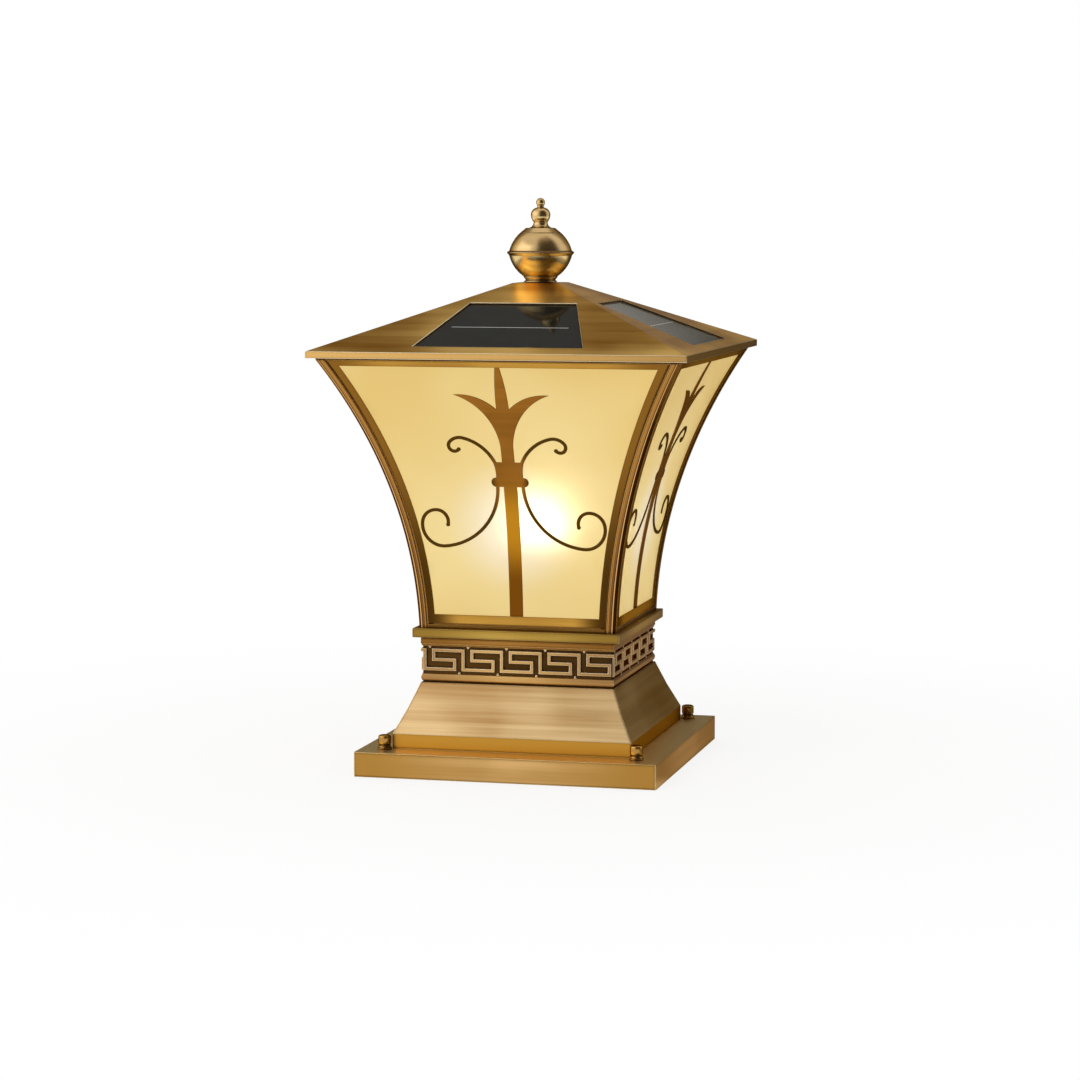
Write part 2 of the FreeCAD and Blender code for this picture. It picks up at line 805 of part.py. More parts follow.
def make_plinth():
    skirt = new_body("plinth_skirt")
    block(skirt, [square("skirt_half")], "base_high", "skirt_shoulder")
    frustum(skirt, [("skirt_half", "skirt_shoulder"), ("skirt_mid_half", "skirt_mid"),
                    ("band_half", "skirt_top")])
    cut_block(skirt, [square("skirt_half - sheet_thick")], "base_high - over", "skirt_shoulder")
    frustum(skirt, [("skirt_half - sheet_thick", "skirt_shoulder"),
                    ("skirt_mid_half - sheet_thick", "skirt_mid"),
                    ("band_half - sheet_thick", "skirt_top - sheet_thick")],
            "PartDesign::SubtractiveLoft")
    cut_block(skirt, [square("band_half - skirt_flange")], "skirt_top - sheet_thick - over",
              "skirt_top + over")
    keep("plinth_skirt", skirt)

    tube_body = new_body("key_band")
    block(tube_body, [square("tube_half"), square("tube_inner")], "skirt_top", "band_top")
    keep("key_band", tube_body)
    four_copies("key_relief", [make_key_relief()])

    bead = new_body("band_bead")
    low = "skirt_top + bead_low"
    high = "skirt_top + bead_low + bead_high"
    swell = "(relief_deep - bead_foot)"
    arc = "(bead_high ^ 2 / 4 + %s ^ 2) / (2 * %s)" % (swell, swell)
    moulding(bead, "tube_half", [("0", low), ("0", high),
                                 ("bead_foot", high, arc, 1), ("bead_foot", low)])
    keep("band_bead", bead)

    fascia = new_body("band_fascia")
    low = "skirt_top + fascia_low"
    step = "skirt_top + fascia_low + fascia_step"
    high = "skirt_top + fascia_low + fascia_high"
    moulding(fascia, "tube_half", [("0", low), ("0", high), ("relief_deep", high),
                                   ("relief_deep", step), ("relief_deep - fascia_step_deep", step),
                                   ("relief_deep - fascia_step_deep", low)])
    keep("band_fascia", fascia)

    collar = new_body("collar_plate")
    slab = block(collar, [square("collar_half")], "band_top", "collar_top")
    doc.recompute()
    rounding = collar.newObject("PartDesign::Fillet", "collar_edge")
    upper = ["Edge%d" % (number + 1) for number, edge in enumerate(slab.Shape.Edges)
             if abs(edge.CenterOfMass.z - measure("band_top + collar_high / 2")) > 0.01]
    rounding.Base = (slab, upper)
    rounding.setExpression("Radius", bound("collar_round"))
    cut_block(collar, [square("collar_gap")], "band_top - over", "collar_top + over")
    cut_block(collar, [place + ("screw_radius + thread_fit",) for place in corner_places()],
              "collar_top - screw_long", "collar_top + over")
    keep("collar_plate", collar)


def corner_places():
    """The four screws that hold the service deck down on the collar."""
    return [(across + "deck_screw_place", back + "deck_screw_place")
            for across, back in (("", ""), ("-", ""), ("-", "-"), ("", "-"))]


# Lantern: corner posts, frames, sills, glass and their clips

def layer(name, outer, inner, low, high):
    """A curved sheet across the front, between two arcs inside the outer skin."""
    outline = [
        ("-" + flare(outer, low), low, "flare_radius + (%s)" % outer, 1),
        ("-" + flare(outer, high), high),
        ("-" + flare(inner, high), high, "flare_radius + (%s)" % inner, -1),
        ("-" + flare(inner, low), low),
    ]
    return prism(name, "YZ_Plane", [outline], "-far_out", "far_out")


def side_layer(name, outer, inner, low, high):
    """The same sheet across the right side."""
    outline = [
        (flare(outer, low), low, "flare_radius + (%s)" % outer, -1),
        (flare(outer, high), high),
        (flare(inner, high), high, "flare_radius + (%s)" % inner, 1),
        (flare(inner, low), low),
    ]
    return prism(name, "XZ_Plane", [outline], "-far_out", "far_out")


def window_outline(edge, low, high):
    """A front elevation between two mirrored arcs and two levels."""
    radius = "flare_radius + (%s)" % edge
    return [
        (flare(edge, low), low, radius, -1),
        (flare(edge, high), high),
        ("-" + flare(edge, high), high, radius, -1),
        ("-" + flare(edge, low), low),
    ]


def corner_outline(edge, low, high, plane):
    """An elevation of what lies beyond an arc, out to the corner."""
    radius = "flare_radius + (%s)" % edge
    if plane == "XZ_Plane":
        return [
            (flare(edge, low), low),
            (flare("0", low), low, "flare_radius", -1),
            (flare("0", high), high),
            (flare(edge, high), high, radius, 1),
        ]
    return [
        ("-" + flare("0", low), low),
        ("-" + flare(edge, low), low, radius, 1),
        ("-" + flare(edge, high), high),
        ("-" + flare("0", high), high, "flare_radius", -1),
    ]


def corner_sheet(name, outer, inner, edge):
    """Both flanges of a corner sheet, on the front and the right side."""
    low, high = "collar_top", "post_top"
    front = common(name + "_front", layer(name + "_fl", outer, inner, low, high),
                   prism(name + "_fe", "XZ_Plane", [corner_outline(edge, low, high, "XZ_Plane")],
                         "0", "far_out"))
    side = common(name + "_side", side_layer(name + "_sl", outer, inner, low, high),
                  prism(name + "_se", "YZ_Plane", [corner_outline(edge, low, high, "YZ_Plane")],
                        "0", "far_out"))
    return fused(name, front, side)


def make_posts():
    strip = corner_sheet("post_strip", "0", "strip_thick", "strip_wide")
    land = corner_sheet("post_land", "strip_thick", "land_back", "land_wide")
    post = fused("post_square", strip, land)
    doc.recompute()
    corner = [number + 1 for number, edge in enumerate(post.Shape.Edges)
              if edge.Length > measure("lantern_high / 2")
              and all(abs(vertex.X + vertex.Y) < 0.01 for vertex in edge.Vertexes)
              and edge.CenterOfMass.x > measure(flare("0.5", "(collar_top + lantern_top) / 2"))]
    post_edge = doc.addObject("Part::Chamfer", "post_edge")
    post_edge.Base = post
    size = measure("post_chamfer")
    post_edge.Edges = [(number, size, size) for number in corner]
    for corner_name, angle in quarter_turns(CORNERS):
        name = "post_" + corner_name
        keep(name, turned_copy(name, [post_edge], angle))


def make_frames():
    frame = common("frame_piece",
                   layer("frame_layer", "frame_face", "strip_thick", "rail_low", "post_top"),
                   prism("frame_outline", "XZ_Plane",
                         [window_outline("frame_edge", "rail_low", "post_top"),
                          window_outline("window_edge", "window_low", "window_high")],
                         "0", "far_out"))
    four_nodes("frame", frame)
    sill = common("sill_piece",
                  layer("sill_layer", "frame_face", "strip_thick", "collar_top", "sill_top"),
                  front_zone("sill_outline", "frame_edge", "collar_top", "sill_top"))
    four_copies("sill_bars", [sill])
    glass = common("glass_piece",
                   layer("glass_layer", "land_back", "glass_back", "collar_top", "post_top"),
                   front_zone("glass_outline", "glass_edge", "collar_top", "post_top"))
    four_nodes("glass", glass)


def front_zone(name, edge, low, high):
    """All that lies in front of the middle, between two mirrored arcs and two levels."""
    return prism(name, "XZ_Plane", [window_outline(edge, low, high)], "0", "far_out")


def make_clips():
    """Bent clips that hold the glass edges against the posts, two on each side of each pane."""
    clear = "(glass_back + glass_clip_gap)"
    back = "(%s + glass_clip_thick)" % clear
    leg_in = "(glass_edge - glass_clip_gap)"
    leg_out = "(%s - glass_clip_thick)" % leg_in
    reach = "(glass_edge + glass_clip_reach)"
    pieces = []
    for name, share in (("low_clips", 0.15), ("high_clips", 0.8)):
        low = "(window_low + window_rise * %s)" % share
        high = "(%s + glass_clip_long)" % low
        beyond = (low + " - over", high + " + over")
        outer = front_zone(name + "_outer", leg_out, low, high)
        leg_band = common(name + "_leg_band",
                          layer(name + "_leg_layer", "land_back", back, low, high), outer)
        tongue_band = common(name + "_tongue_band",
                             layer(name + "_tongue_layer", clear, back, low, high), outer)
        legs = cut(name + "_legs", leg_band, front_zone(name + "_inner", leg_in, *beyond))
        tongues = cut(name + "_tongues", tongue_band, front_zone(name + "_reach", reach, *beyond))
        pieces.append(fused(name, legs, tongues))
    four_copies("glass_clips", pieces)


def make_ring():
    ring = new_body("top_ring")
    block(ring, [square("head_half - ring_inset"), square("ring_half")],
          "post_top", "lantern_top")
    keep("top_ring", ring)


# Ornament: spear, leaves, knob, stem and scrolls, cut from one plate and bent to the glass

# Arcs of a scroll from the knob outwards: radius as a share of the first, and turn in degrees

LOWER_SCROLL_SHARES = ((1.0, 84.1), (0.329, 106.4), (0.2374, 80.7), (0.1858, 103.3))
UPPER_SCROLL_SHARES = ((1.0, 53.3), (0.3153, 59.9), (0.1273, 92.0), (0.1273, 91.0))


def mirrored(corners):
    """The mirror image of an outline's right half, from its end back to its start."""
    arcs = [()] + [tuple(corner[2:]) for corner in corners[:-1]]
    image = [("-(%s)" % corner[0], corner[1]) + arc for corner, arc in zip(corners, arcs)]
    return image[::-1]


def plate_half():
    """The right half of the ornament without its scrolls, from the foot of the stem to the spear."""
    return [
        ("stem_half", "window_low - scroll_tuck"),
        ("stem_half", "knob_low"),
        ("knob_half - knob_radius", "knob_low", "knob_radius", 1),
        ("knob_half", "knob_mid", "knob_radius", 1),
        ("knob_half - knob_radius", "knob_top"),
        ("block_half", "knob_top", "block_arc", -1),
        ("block_half + block_flare", "block_top"),
        ("neck_half", "block_top"),
        ("neck_half", "neck_end", "leaf_low_arc", -1),
        ("leaf_reach", "leaf_tip", "leaf_high_arc", 1),
        ("neck_half", "crotch_up", "spear_arc", 1),
        ("spear_half", "window_high"),
        ("spear_half", "window_high + scroll_tuck"),
    ]


def strap(start, heading, scroll, arcs, way):
    """A strap that winds along tangent arcs, to the left where way is 1, and its round end."""
    def corner(edge, arc=()):
        across = "%s + %s * %.5f + strap_wide / 2 * %.5f" % (
            start[0], scroll, reach[0], edge * math.sin(angle))
        up = "%s + %s * %.5f - strap_wide / 2 * %.5f" % (
            start[1], scroll, reach[1], edge * math.cos(angle))
        return (across, up) + arc

    def edge_radius(share, edge):
        return "%s * %s + strap_wide / 2 * %d" % (scroll, share, edge * way)

    angle = math.radians(measure(heading))
    reach = [0, 0]
    right = []
    left = [corner(-1)]
    for share, turn in arcs:
        right.append(corner(1, (edge_radius(share, 1), way)))
        before = angle
        angle = before + way * math.radians(turn)
        reach[0] += way * share * (math.sin(angle) - math.sin(before))
        reach[1] += way * share * (math.cos(before) - math.cos(angle))
        left.append(corner(-1, (edge_radius(share, -1), -way)))
    right.append(corner(1))
    disc = ("%s + %s * %.5f" % (start[0], scroll, reach[0]),
            "%s + %s * %.5f" % (start[1], scroll, reach[1]), "scroll_end")
    return right + left[::-1], disc


def make_ornament():
    half = plate_half()
    lower = strap(("lower_scroll_start", "knob_low + weld"), "lower_scroll_heading", "lower_scroll",
                  LOWER_SCROLL_SHARES, 1)
    upper = strap(("block_half - weld", "block_top - strap_wide * 0.35"), "upper_scroll_heading",
                  "upper_scroll", UPPER_SCROLL_SHARES, -1)
    shapes = {"plate": half + mirrored(half)}
    for name, (outline, disc) in (("lower", lower), ("upper", upper)):
        shapes[name + "_right"] = outline
        shapes[name + "_left"] = mirrored(outline)
        shapes[name + "_right_end"] = disc
        shapes[name + "_left_end"] = ("-(%s)" % disc[0],) + disc[1:]
    cut_plate = fused("scroll_shape", *[prism("scroll_" + name, "XZ_Plane", [outline], "0", "far_out")
                                        for name, outline in shapes.items()])
    bent = layer("scroll_layer", "strip_thick", "scroll_back",
                 "window_low - scroll_tuck", "window_high + scroll_tuck")
    four_nodes("scroll", common("scroll_piece", bent, cut_plate))


# Roof, panels and gasket

def make_roof():
    roof = new_body("roof_shell")
    block(roof, [square("eave_half")], "lantern_top", "eave_top")
    frustum(roof, [("eave_half", "eave_top"), ("crown_half", "crown_top")])
    frustum(roof, [("cavity_half", "cavity_eave"), ("cavity_crown", "cavity_top")],
            "PartDesign::SubtractiveLoft")
    cut_block(roof, [square("cavity_half")], "seat_high", "cavity_eave")
    cut_block(roof, [square("cavity_half")], "lantern_top - over", "seat_low")
    cut_block(roof, [square("seat_half")], "seat_low - over", "seat_high + over")
    cut_block(roof, [("0", "0", "rod_radius + run_gap")], "cavity_top - over", "crown_top + over")
    window = body_sketch(roof, "XY_Plane", [panel_outline("0")])
    lay_on_slope(window)
    hole = pocket(roof, window, "over * 2", both=True)
    around(roof, [hole], 4)
    keep("roof_shell", roof)

    gasket = new_body("roof_gasket")
    block(gasket, [square("gasket_half"), square("gasket_half - gasket_wide")],
          "lantern_top", "seat_low")
    keep("roof_gasket", gasket)

    panel = new_body("solar_panel")
    face = body_sketch(panel, "XY_Plane", [panel_outline("panel_cover")])
    lay_on_slope(face)
    plate = panel.newObject("PartDesign::Pad", "panel_pad")
    plate.Profile = face
    plate.setExpression("Length", bound("roof_sheet + panel_thick"))
    plate.Reversed = True
    skin = body_sketch(panel, "XY_Plane", [panel_outline("panel_cover + over")])
    lay_on_slope(skin)
    pocket(panel, skin, "roof_sheet")
    four_nodes("solar_panel", panel)


def panel_outline(cover):
    """A panel's outline on the slope, measured from the eave, grown by the cover."""
    low = "panel_rim - (%s)" % cover
    high = "panel_rim + panel_long + %s" % cover
    return [("-(panel_low_half + %s)" % cover, low), ("panel_low_half + %s" % cover, low),
            ("panel_high_half + %s" % cover, high), ("-(panel_high_half + %s)" % cover, high)]


def lay_on_slope(sketch):
    """Tilt a sketch so that its plane is the front slope and its start the middle of the eave."""
    sketch.AttachmentOffset = Placement(Vector(), Rotation(Vector(1, 0, 0), 1))
    sketch.setExpression("AttachmentOffset.Base.y", bound("-eave_half"))
    sketch.setExpression("AttachmentOffset.Base.z", bound("eave_top"))
    sketch.setExpression("AttachmentOffset.Rotation.Angle", bound("atan(roof_high / roof_run)"))


# Finial

def swell(run, rise):
    """Radius of an arc that is upright at its widest point and comes in by run over rise."""
    return "((%s) ^ 2 + (%s) ^ 2) / (2 * (%s))" % (run, rise, run)


def make_finial():
    def up(text):
        return "crown_top + " + text
    seal = tube("finial_seal", "seal_radius", "crown_top", up("seal_thick"),
                bore="rod_radius + run_gap")
    keep("finial_seal", seal)

    neck = new_body("finial_neck")
    bore = "rod_radius + run_gap"
    turned(neck, [
        (bore, up("seal_thick")),
        ("neck_radius", up("seal_thick")),
        ("neck_radius", up("neck_high"), "neck_high", -1),
        ("neck_waist", up("neck_high * 1.6")),
        ("ball_seat", up("neck_top - neck_high * 0.5")),
        ("ball_seat", up("neck_top")),
        ("core_radius", up("neck_top")),
        ("core_radius", up("ball_top")),
        ("0", up("ball_top")),
        ("0", "rod_top + run_gap"),
        (bore, "rod_top + run_gap"),
    ])
    keep("finial_neck", neck)

    lower = new_body("finial_ball_lower")
    fit = "core_radius + run_gap"
    turned(lower, [
        (fit, up("neck_top")),
        ("ball_seat", up("neck_top"), "ball_low_arc", 1),
        ("ball_radius", up("ball_seam - seam_skirt")),
        ("ball_radius + seam_ring", up("ball_seam - seam_lip")),
        ("ball_radius + seam_ring", up("ball_seam")),
        ("ball_radius - ball_wall", up("ball_seam"), "ball_low_arc - ball_wall", -1),
        ("ball_seat - ball_wall", up("neck_top + ball_wall")),
        (fit, up("neck_top + ball_wall")),
    ])
    keep("finial_ball_lower", lower)

    upper = new_body("finial_ball_upper")
    turned(upper, [
        ("ball_radius - ball_wall", up("ball_seam")),
        ("ball_radius + seam_ring", up("ball_seam")),
        ("ball_radius + seam_ring", up("ball_seam + seam_lip")),
        ("ball_radius", up("ball_seam + seam_ring_high / 2"), "ball_high_arc", 1),
        ("ball_crown", up("ball_top")),
        (fit, up("ball_top")),
        (fit, up("ball_top - ball_wall")),
        ("ball_crown - ball_wall", up("ball_top - ball_wall"), "ball_high_arc - ball_wall", -1),
    ])
    keep("finial_ball_upper", upper)

    tip = new_body("finial_tip")
    def tip_up(text):
        return "crown_top + ball_top + " + text
    turned(tip, [
        ("0", tip_up("0")),
        ("ball_crown", tip_up("0")),
        ("cap_radius", tip_up("cap_high")),
        ("cap_radius - cap_step", tip_up("cap_high"), "tip_neck_high - cap_high", -1),
        ("tip_neck", tip_up("tip_neck_high"),
         swell("bud_radius - tip_neck", "bud_high - tip_neck_high"), 1),
        ("bud_radius", tip_up("bud_high"),
         swell("bud_radius - tip_waist", "tip_waist_high - bud_high"), 1),
        ("tip_waist", tip_up("tip_waist_high")),
        ("tip_waist", tip_up("tip_high - tip_ball - sqrt(tip_ball ^ 2 - tip_waist ^ 2)"),
         "tip_ball", 1),
        ("0", tip_up("tip_high")),
    ])
    keep("finial_tip", tip)


# Cross bar and threaded rod

def hexagon(flats):
    """The corners of a hexagon with two flats along X."""
    edge = "(%s) / sqrt(3)" % flats
    half = "(%s) / 2" % flats
    return [("-(%s)" % edge, "0"), ("-(%s) / 2" % edge, "-(%s)" % half), ("%s / 2" % edge, "-(%s)" % half),
            (edge, "0"), ("%s / 2" % edge, half), ("-(%s) / 2" % edge, half)]


def make_rod():
    bar = new_body("cross_bar")
    block(bar, [rectangle("-bar_half", "-bar_wide / 2", "bar_half", "bar_wide / 2"),
                ("0", "0", "rod_radius + thread_fit")], "bar_low", "post_top")
    keep("cross_bar", bar)
    keep("roof_rod", tube("roof_rod", "rod_radius", "rod_low", "rod_top"))
    nuts = []
    for name, low, high in (("under", "bar_low - rod_nut_high", "bar_low"),
                            ("over", "post_top", "post_top + rod_nut_high")):
        nut = new_body("rod_nut_" + name)
        block(nut, [hexagon("rod_nut_flats"), ("0", "0", "rod_radius + thread_fit")], low, high)
        nuts.append(nut)
    group("rod_nuts", nuts)


# Service deck, lamp and bulb

def screw(name, across, back, seat):
    """A round-headed screw whose head rests at a level."""
    body = new_body(name)
    turned(body, [
        ("0", seat + " - screw_long"),
        ("screw_radius", seat + " - screw_long"),
        ("screw_radius", seat),
        ("screw_head", seat),
        ("screw_head", seat + " + screw_head_high / 2"),
        ("screw_head / 2", seat + " + screw_head_high"),
        ("0", seat + " + screw_head_high"),
    ])
    return moved(body, across, back)


def moved(thing, across, back):
    """Set a piece beside the axis."""
    thing.setExpression("Placement.Base.x", bound(across))
    thing.setExpression("Placement.Base.y", bound(back))
    return thing


def make_deck():
    bracket_places = [("bracket_screw_place", "0"), ("-bracket_screw_place", "0")]
    hole = ("screw_radius + thread_fit",)
    deck = new_body("service_deck")
    block(deck, [square("deck_half"), ("0", "0", "cable_bore"),
                 ("grommet_place", "grommet_place", "grommet_radius - grommet_lip"),
                 ("-switch_across", "-switch_back", "switch_radius + run_gap")]
          + [place + hole for place in corner_places() + bracket_places],
          "collar_top", "deck_top")
    keep("service_deck", deck)

    screws = [screw("deck_screw", across, back, "deck_top") for across, back in corner_places()]
    screws += [screw("bracket_screw", across, back, "deck_top + bracket_thick")
               for across, back in bracket_places]
    group("deck_screws", screws)

    grommet = new_body("cable_grommet")
    low = "collar_top - grommet_lip_high"
    high = "deck_top + grommet_lip_high"
    turned(grommet, [
        ("grommet_bore", low),
        ("grommet_radius", low),
        ("grommet_radius", "collar_top"),
        ("grommet_radius - grommet_lip", "collar_top"),
        ("grommet_radius - grommet_lip", "deck_top"),
        ("grommet_radius", "deck_top"),
        ("grommet_radius", high),
        ("grommet_bore", high),
    ])
    keep("cable_grommet", moved(grommet, "grommet_place", "grommet_place"))

    bracket = new_body("lamp_bracket")
    block(bracket, [("0", "0", "bracket_radius"), ("0", "0", "cable_bore")]
          + [place + hole for place in bracket_places], "deck_top", "deck_top + bracket_thick")
    block(bracket, [("0", "0", "bracket_boss"), ("0", "0", "cable_bore")],
          "deck_top + bracket_thick", "bracket_top")
    keep("lamp_bracket", bracket)


def make_lamp():
    holder = new_body("lamp_holder")
    bore = "cap_thread + thread_fit"
    collar = "holder_top - holder_mouth * 0.35"
    turned(holder, [
        ("chamber_radius", "bracket_top"),
        ("holder_radius", "bracket_top"),
        ("holder_radius", collar),
        ("holder_mouth", collar),
        ("holder_mouth", "holder_top"),
        (bore, "holder_top"),
        (bore, "cap_low"),
        ("0", "cap_low"),
        ("0", "bracket_top + holder_chamber"),
        ("chamber_radius", "bracket_top + holder_chamber"),
    ])
    keep("lamp_holder", holder)

    cap = new_body("bulb_cap")
    turned(cap, [
        ("0", "cap_low"),
        ("cap_contact", "cap_low"),
        ("cap_contact * 1.3", "cap_seat"),
        ("cap_thread", "cap_seat + cap_contact_high"),
        ("cap_thread", "cap_top"),
        ("0", "cap_top"),
    ])
    keep("bulb_cap", cap)

    lower = new_body("bulb_body")
    turned(lower, [
        ("0", "cap_top"),
        ("cap_thread", "cap_top", "bulb_neck_high * 1.6", 1),
        ("bulb_shoulder", "bulb_top"),
        ("0", "bulb_top"),
    ])
    keep("bulb_body", lower)

    globe = new_body("bulb_globe")
    inner = "(globe_radius - globe_wall)"
    turned(globe, [
        ("bulb_shoulder", "bulb_top", "globe_radius", 1),
        ("0", "globe_up + globe_radius"),
        ("0", "globe_up + " + inner, inner, -1),
        ("sqrt(%s ^ 2 - (globe_up - bulb_top) ^ 2)" % inner, "bulb_top"),
    ])
    keep("bulb_globe", globe)


# Battery and control box under the deck

def make_case(name, middle, long, wide, floor):
    """A case that is open below and hangs under the deck."""
    def walls(inset):
        across = "%s / 2 - %s" % (long, inset)
        back = "%s / 2 - %s" % (wide, inset)
        return rectangle("-(%s)" % across, "%s - (%s)" % (middle, back),
                         across, "%s + %s" % (middle, back))
    case = new_body(name)
    block(case, [walls("0")], floor, "collar_top")
    cut_block(case, [walls("box_wall")], floor + " - over", "collar_top - box_wall")
    keep(name, case)
    return walls


def make_boxes():
    walls = make_case("battery_box", "battery_place", "battery_long", "battery_wide",
                      "battery_floor")
    lid = new_body("battery_lid")
    block(lid, [walls("0")], "battery_low", "battery_floor")
    keep("battery_lid", lid)
    group("battery_cells", [
        prism(name, "YZ_Plane",
              [("battery_place " + sign + " (cell_radius + run_gap / 2)",
                "battery_floor + cell_radius", "cell_radius")],
              "-cell_long / 2", "cell_long / 2")
        for name, sign in (("cell_front", "-"), ("cell_back", "+"))])

    walls = make_case("control_box", "-control_place", "control_long", "control_wide",
                      "control_floor")
    lid = new_body("control_lid")
    block(lid, [walls("0")], "control_low", "control_floor")
    keep("control_lid", lid)
    board = new_body("control_board")
    block(board, [walls("box_wall")], "control_floor + board_gap",
          "control_floor + board_gap + board_thick")
    keep("control_board", board)


# Push switch

def make_switch():
    bore = "button_radius + run_gap"
    floor = "button_low - button_travel - run_gap"
    housing = new_body("switch_housing")
    turned(housing, [
        ("0", "deck_top - switch_deep"),
        ("switch_radius", "deck_top - switch_deep"),
        ("switch_radius", "deck_top"),
        ("switch_bezel", "deck_top"),
        ("switch_bezel", "deck_top + switch_bezel_high"),
        (bore, "deck_top + switch_bezel_high"),
        (bore, floor),
        ("0", floor),
    ])
    keep("switch_housing", moved(housing, "-switch_across", "-switch_back"))

    button = new_body("switch_button")
    edge = "button_proud / 4"
    turned(button, [
        ("0", "button_low"),
        ("button_radius", "button_low"),
        ("button_radius", "button_top - " + edge),
        ("button_radius - " + edge, "button_top"),
        ("0", "button_top"),
    ])
    keep("switch_button", moved(button, "-switch_across", "-switch_back"))


def check_shapes():
    """Stop before anything is written if a feature failed or a piece has no sound shape."""
    for thing in doc.Objects:
        if "Invalid" in thing.State or "Error" in thing.State:
            raise RuntimeError("%s failed: %s" % (thing.Name, thing.State))
    for label, thing in nodes.items():
        if thing.Shape.isNull() or not thing.Shape.isValid() or not thing.Shape.Solids:
            raise RuntimeError("%s has no sound shape" % label)


def main():
    for make in (make_base, make_plinth, make_posts, make_frames, make_clips, make_ring,
                 make_ornament, make_roof, make_finial, make_rod, make_deck, make_lamp,
                 make_boxes, make_switch):
        make()
    doc.recompute()
    check_shapes()
    os.makedirs("parts", exist_ok=True)
    for label, thing in nodes.items():
        thing.Shape.exportStep("parts/%s.step" % label)
        print(label, len(thing.Shape.Solids), round(thing.Shape.Volume))


main()
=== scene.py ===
"""Looks of a solar pillar light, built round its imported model.

Lengths are in metres. Z is up, -Y is the front and +X the right, as in the model.
"""
import json
import math

import bmesh
import bpy
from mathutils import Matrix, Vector


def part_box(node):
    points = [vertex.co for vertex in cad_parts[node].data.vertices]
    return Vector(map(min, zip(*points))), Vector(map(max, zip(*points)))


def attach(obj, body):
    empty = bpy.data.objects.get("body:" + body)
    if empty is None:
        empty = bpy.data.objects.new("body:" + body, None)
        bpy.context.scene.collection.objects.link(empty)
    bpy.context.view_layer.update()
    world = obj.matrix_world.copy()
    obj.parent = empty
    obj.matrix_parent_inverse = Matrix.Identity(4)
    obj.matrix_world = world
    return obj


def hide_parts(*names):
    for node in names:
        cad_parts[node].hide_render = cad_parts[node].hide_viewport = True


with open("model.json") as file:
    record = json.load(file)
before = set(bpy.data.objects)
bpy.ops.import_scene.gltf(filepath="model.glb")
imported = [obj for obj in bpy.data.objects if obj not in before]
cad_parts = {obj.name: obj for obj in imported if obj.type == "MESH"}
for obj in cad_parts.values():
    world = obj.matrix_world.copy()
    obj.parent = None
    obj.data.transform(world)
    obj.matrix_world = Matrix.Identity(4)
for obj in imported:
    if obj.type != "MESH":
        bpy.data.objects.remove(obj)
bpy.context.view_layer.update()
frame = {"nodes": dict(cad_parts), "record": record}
nodes = frame["nodes"]

# Camera, fitted to the photograph

CAMERA_YAW = math.radians(13.946)
CAMERA_PITCH = math.radians(6.093)
CAMERA_DISTANCE = 2.541
CAMERA_TARGET = Vector((-0.0005, 0.0, 0.1781))
CAMERA_LENS = 104.54
CAMERA_SENSOR = 36.0

# Places on the model, read from the frame where a node gives them

BULB_CENTRE = sum(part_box("bulb_globe"), Vector()) / 2
RAIL_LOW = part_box("frame_front")[0].z
RAIL_TRIM = 0.002

# The scrolls' thin straps lie outside the stem and below the spear's foot

STRAP_FROM = 0.0105
STRAP_TOP = 0.286
STEM_EDGE = 0.002
STRAP_EDGE = 0.004
# The stem's painted glow of the bulb: how it fades away from the bulb's height, and how much of
# it the side faces keep
STEM_FADE = (0.045, 0.005)
STEM_TURN = (0.0, 0.02)
STEM_SIDE = 0.25

# The pale conductor on each solar panel

CELL_LINE_OUT = 0.099
CELL_LINE_HALF = 0.0468
CELL_LINE_WIDE = 0.0009

# The brushed finish: scales of its noise, how far it is drawn out, and what makes up the tone

STREAK_SCALE = 620.0
HAIR_SCALE = 2600.0
BAND_SCALE = 150.0
BRUSH_STRETCH = 0.015
CLOUD_SQUASH = (1.0, 1.0, 1.6)
STREAK_PART = 0.3
BAND_PART = 0.4
GRAIN_BUMP = 0.12
BUMP_DEPTH = 0.0004
HAIR_ROUGHNESS = 0.14

# Rubbing with a painted highlight on the edges, and patina with painted shade in corners and
# beside edges: where each kind begins and where it is full, as the agreement of two normals, as
# the open share of the surroundings, or as the upright part of a normal. Level faces keep only a
# small share of the patina and painted shade.

EDGE_RUB_AND_HIGHLIGHT = (0.99, 0.92)
OUTLINE_PATINA_AND_SHADE = (0.999, 0.96)
CORNER_PATINA_AND_SHADE = (0.84, 0.42)
LEVEL_FACE = (0.95, 0.99)
LEVEL_PATINA_AND_SHADE = 0.1
WIDE_BEVEL = 2.6
RAY_SAMPLES = 6

# Where the painted light and shade by face direction and by place, and the tone low down, begin
# and where they are full

UNDER_FACE = (-0.05, -0.4)
SLANT_FACE = (0.28, 0.36)
ENDS_FULL = 0.9
FOOT_HEIGHTS = (0.27, 0.15)
SMALL_LENGTH = 0.0001

# Painted glow of the panes: distances from the bulb over which it fades, and what makes up the
# tone

GLOW_FADE = (0.150, 0.03)
CORE_FADE = (0.06, 0.012)
CORE_SHARE = 0.5
NEAR_PART = 0.65
CLOUD_PART = 0.35
CLOUD_RANGE = (0.34, 0.66)
GLASS_IOR = 1.46
GLASS_GLOSS = (0.3, 0.8)


# Materials: a small builder of node trees

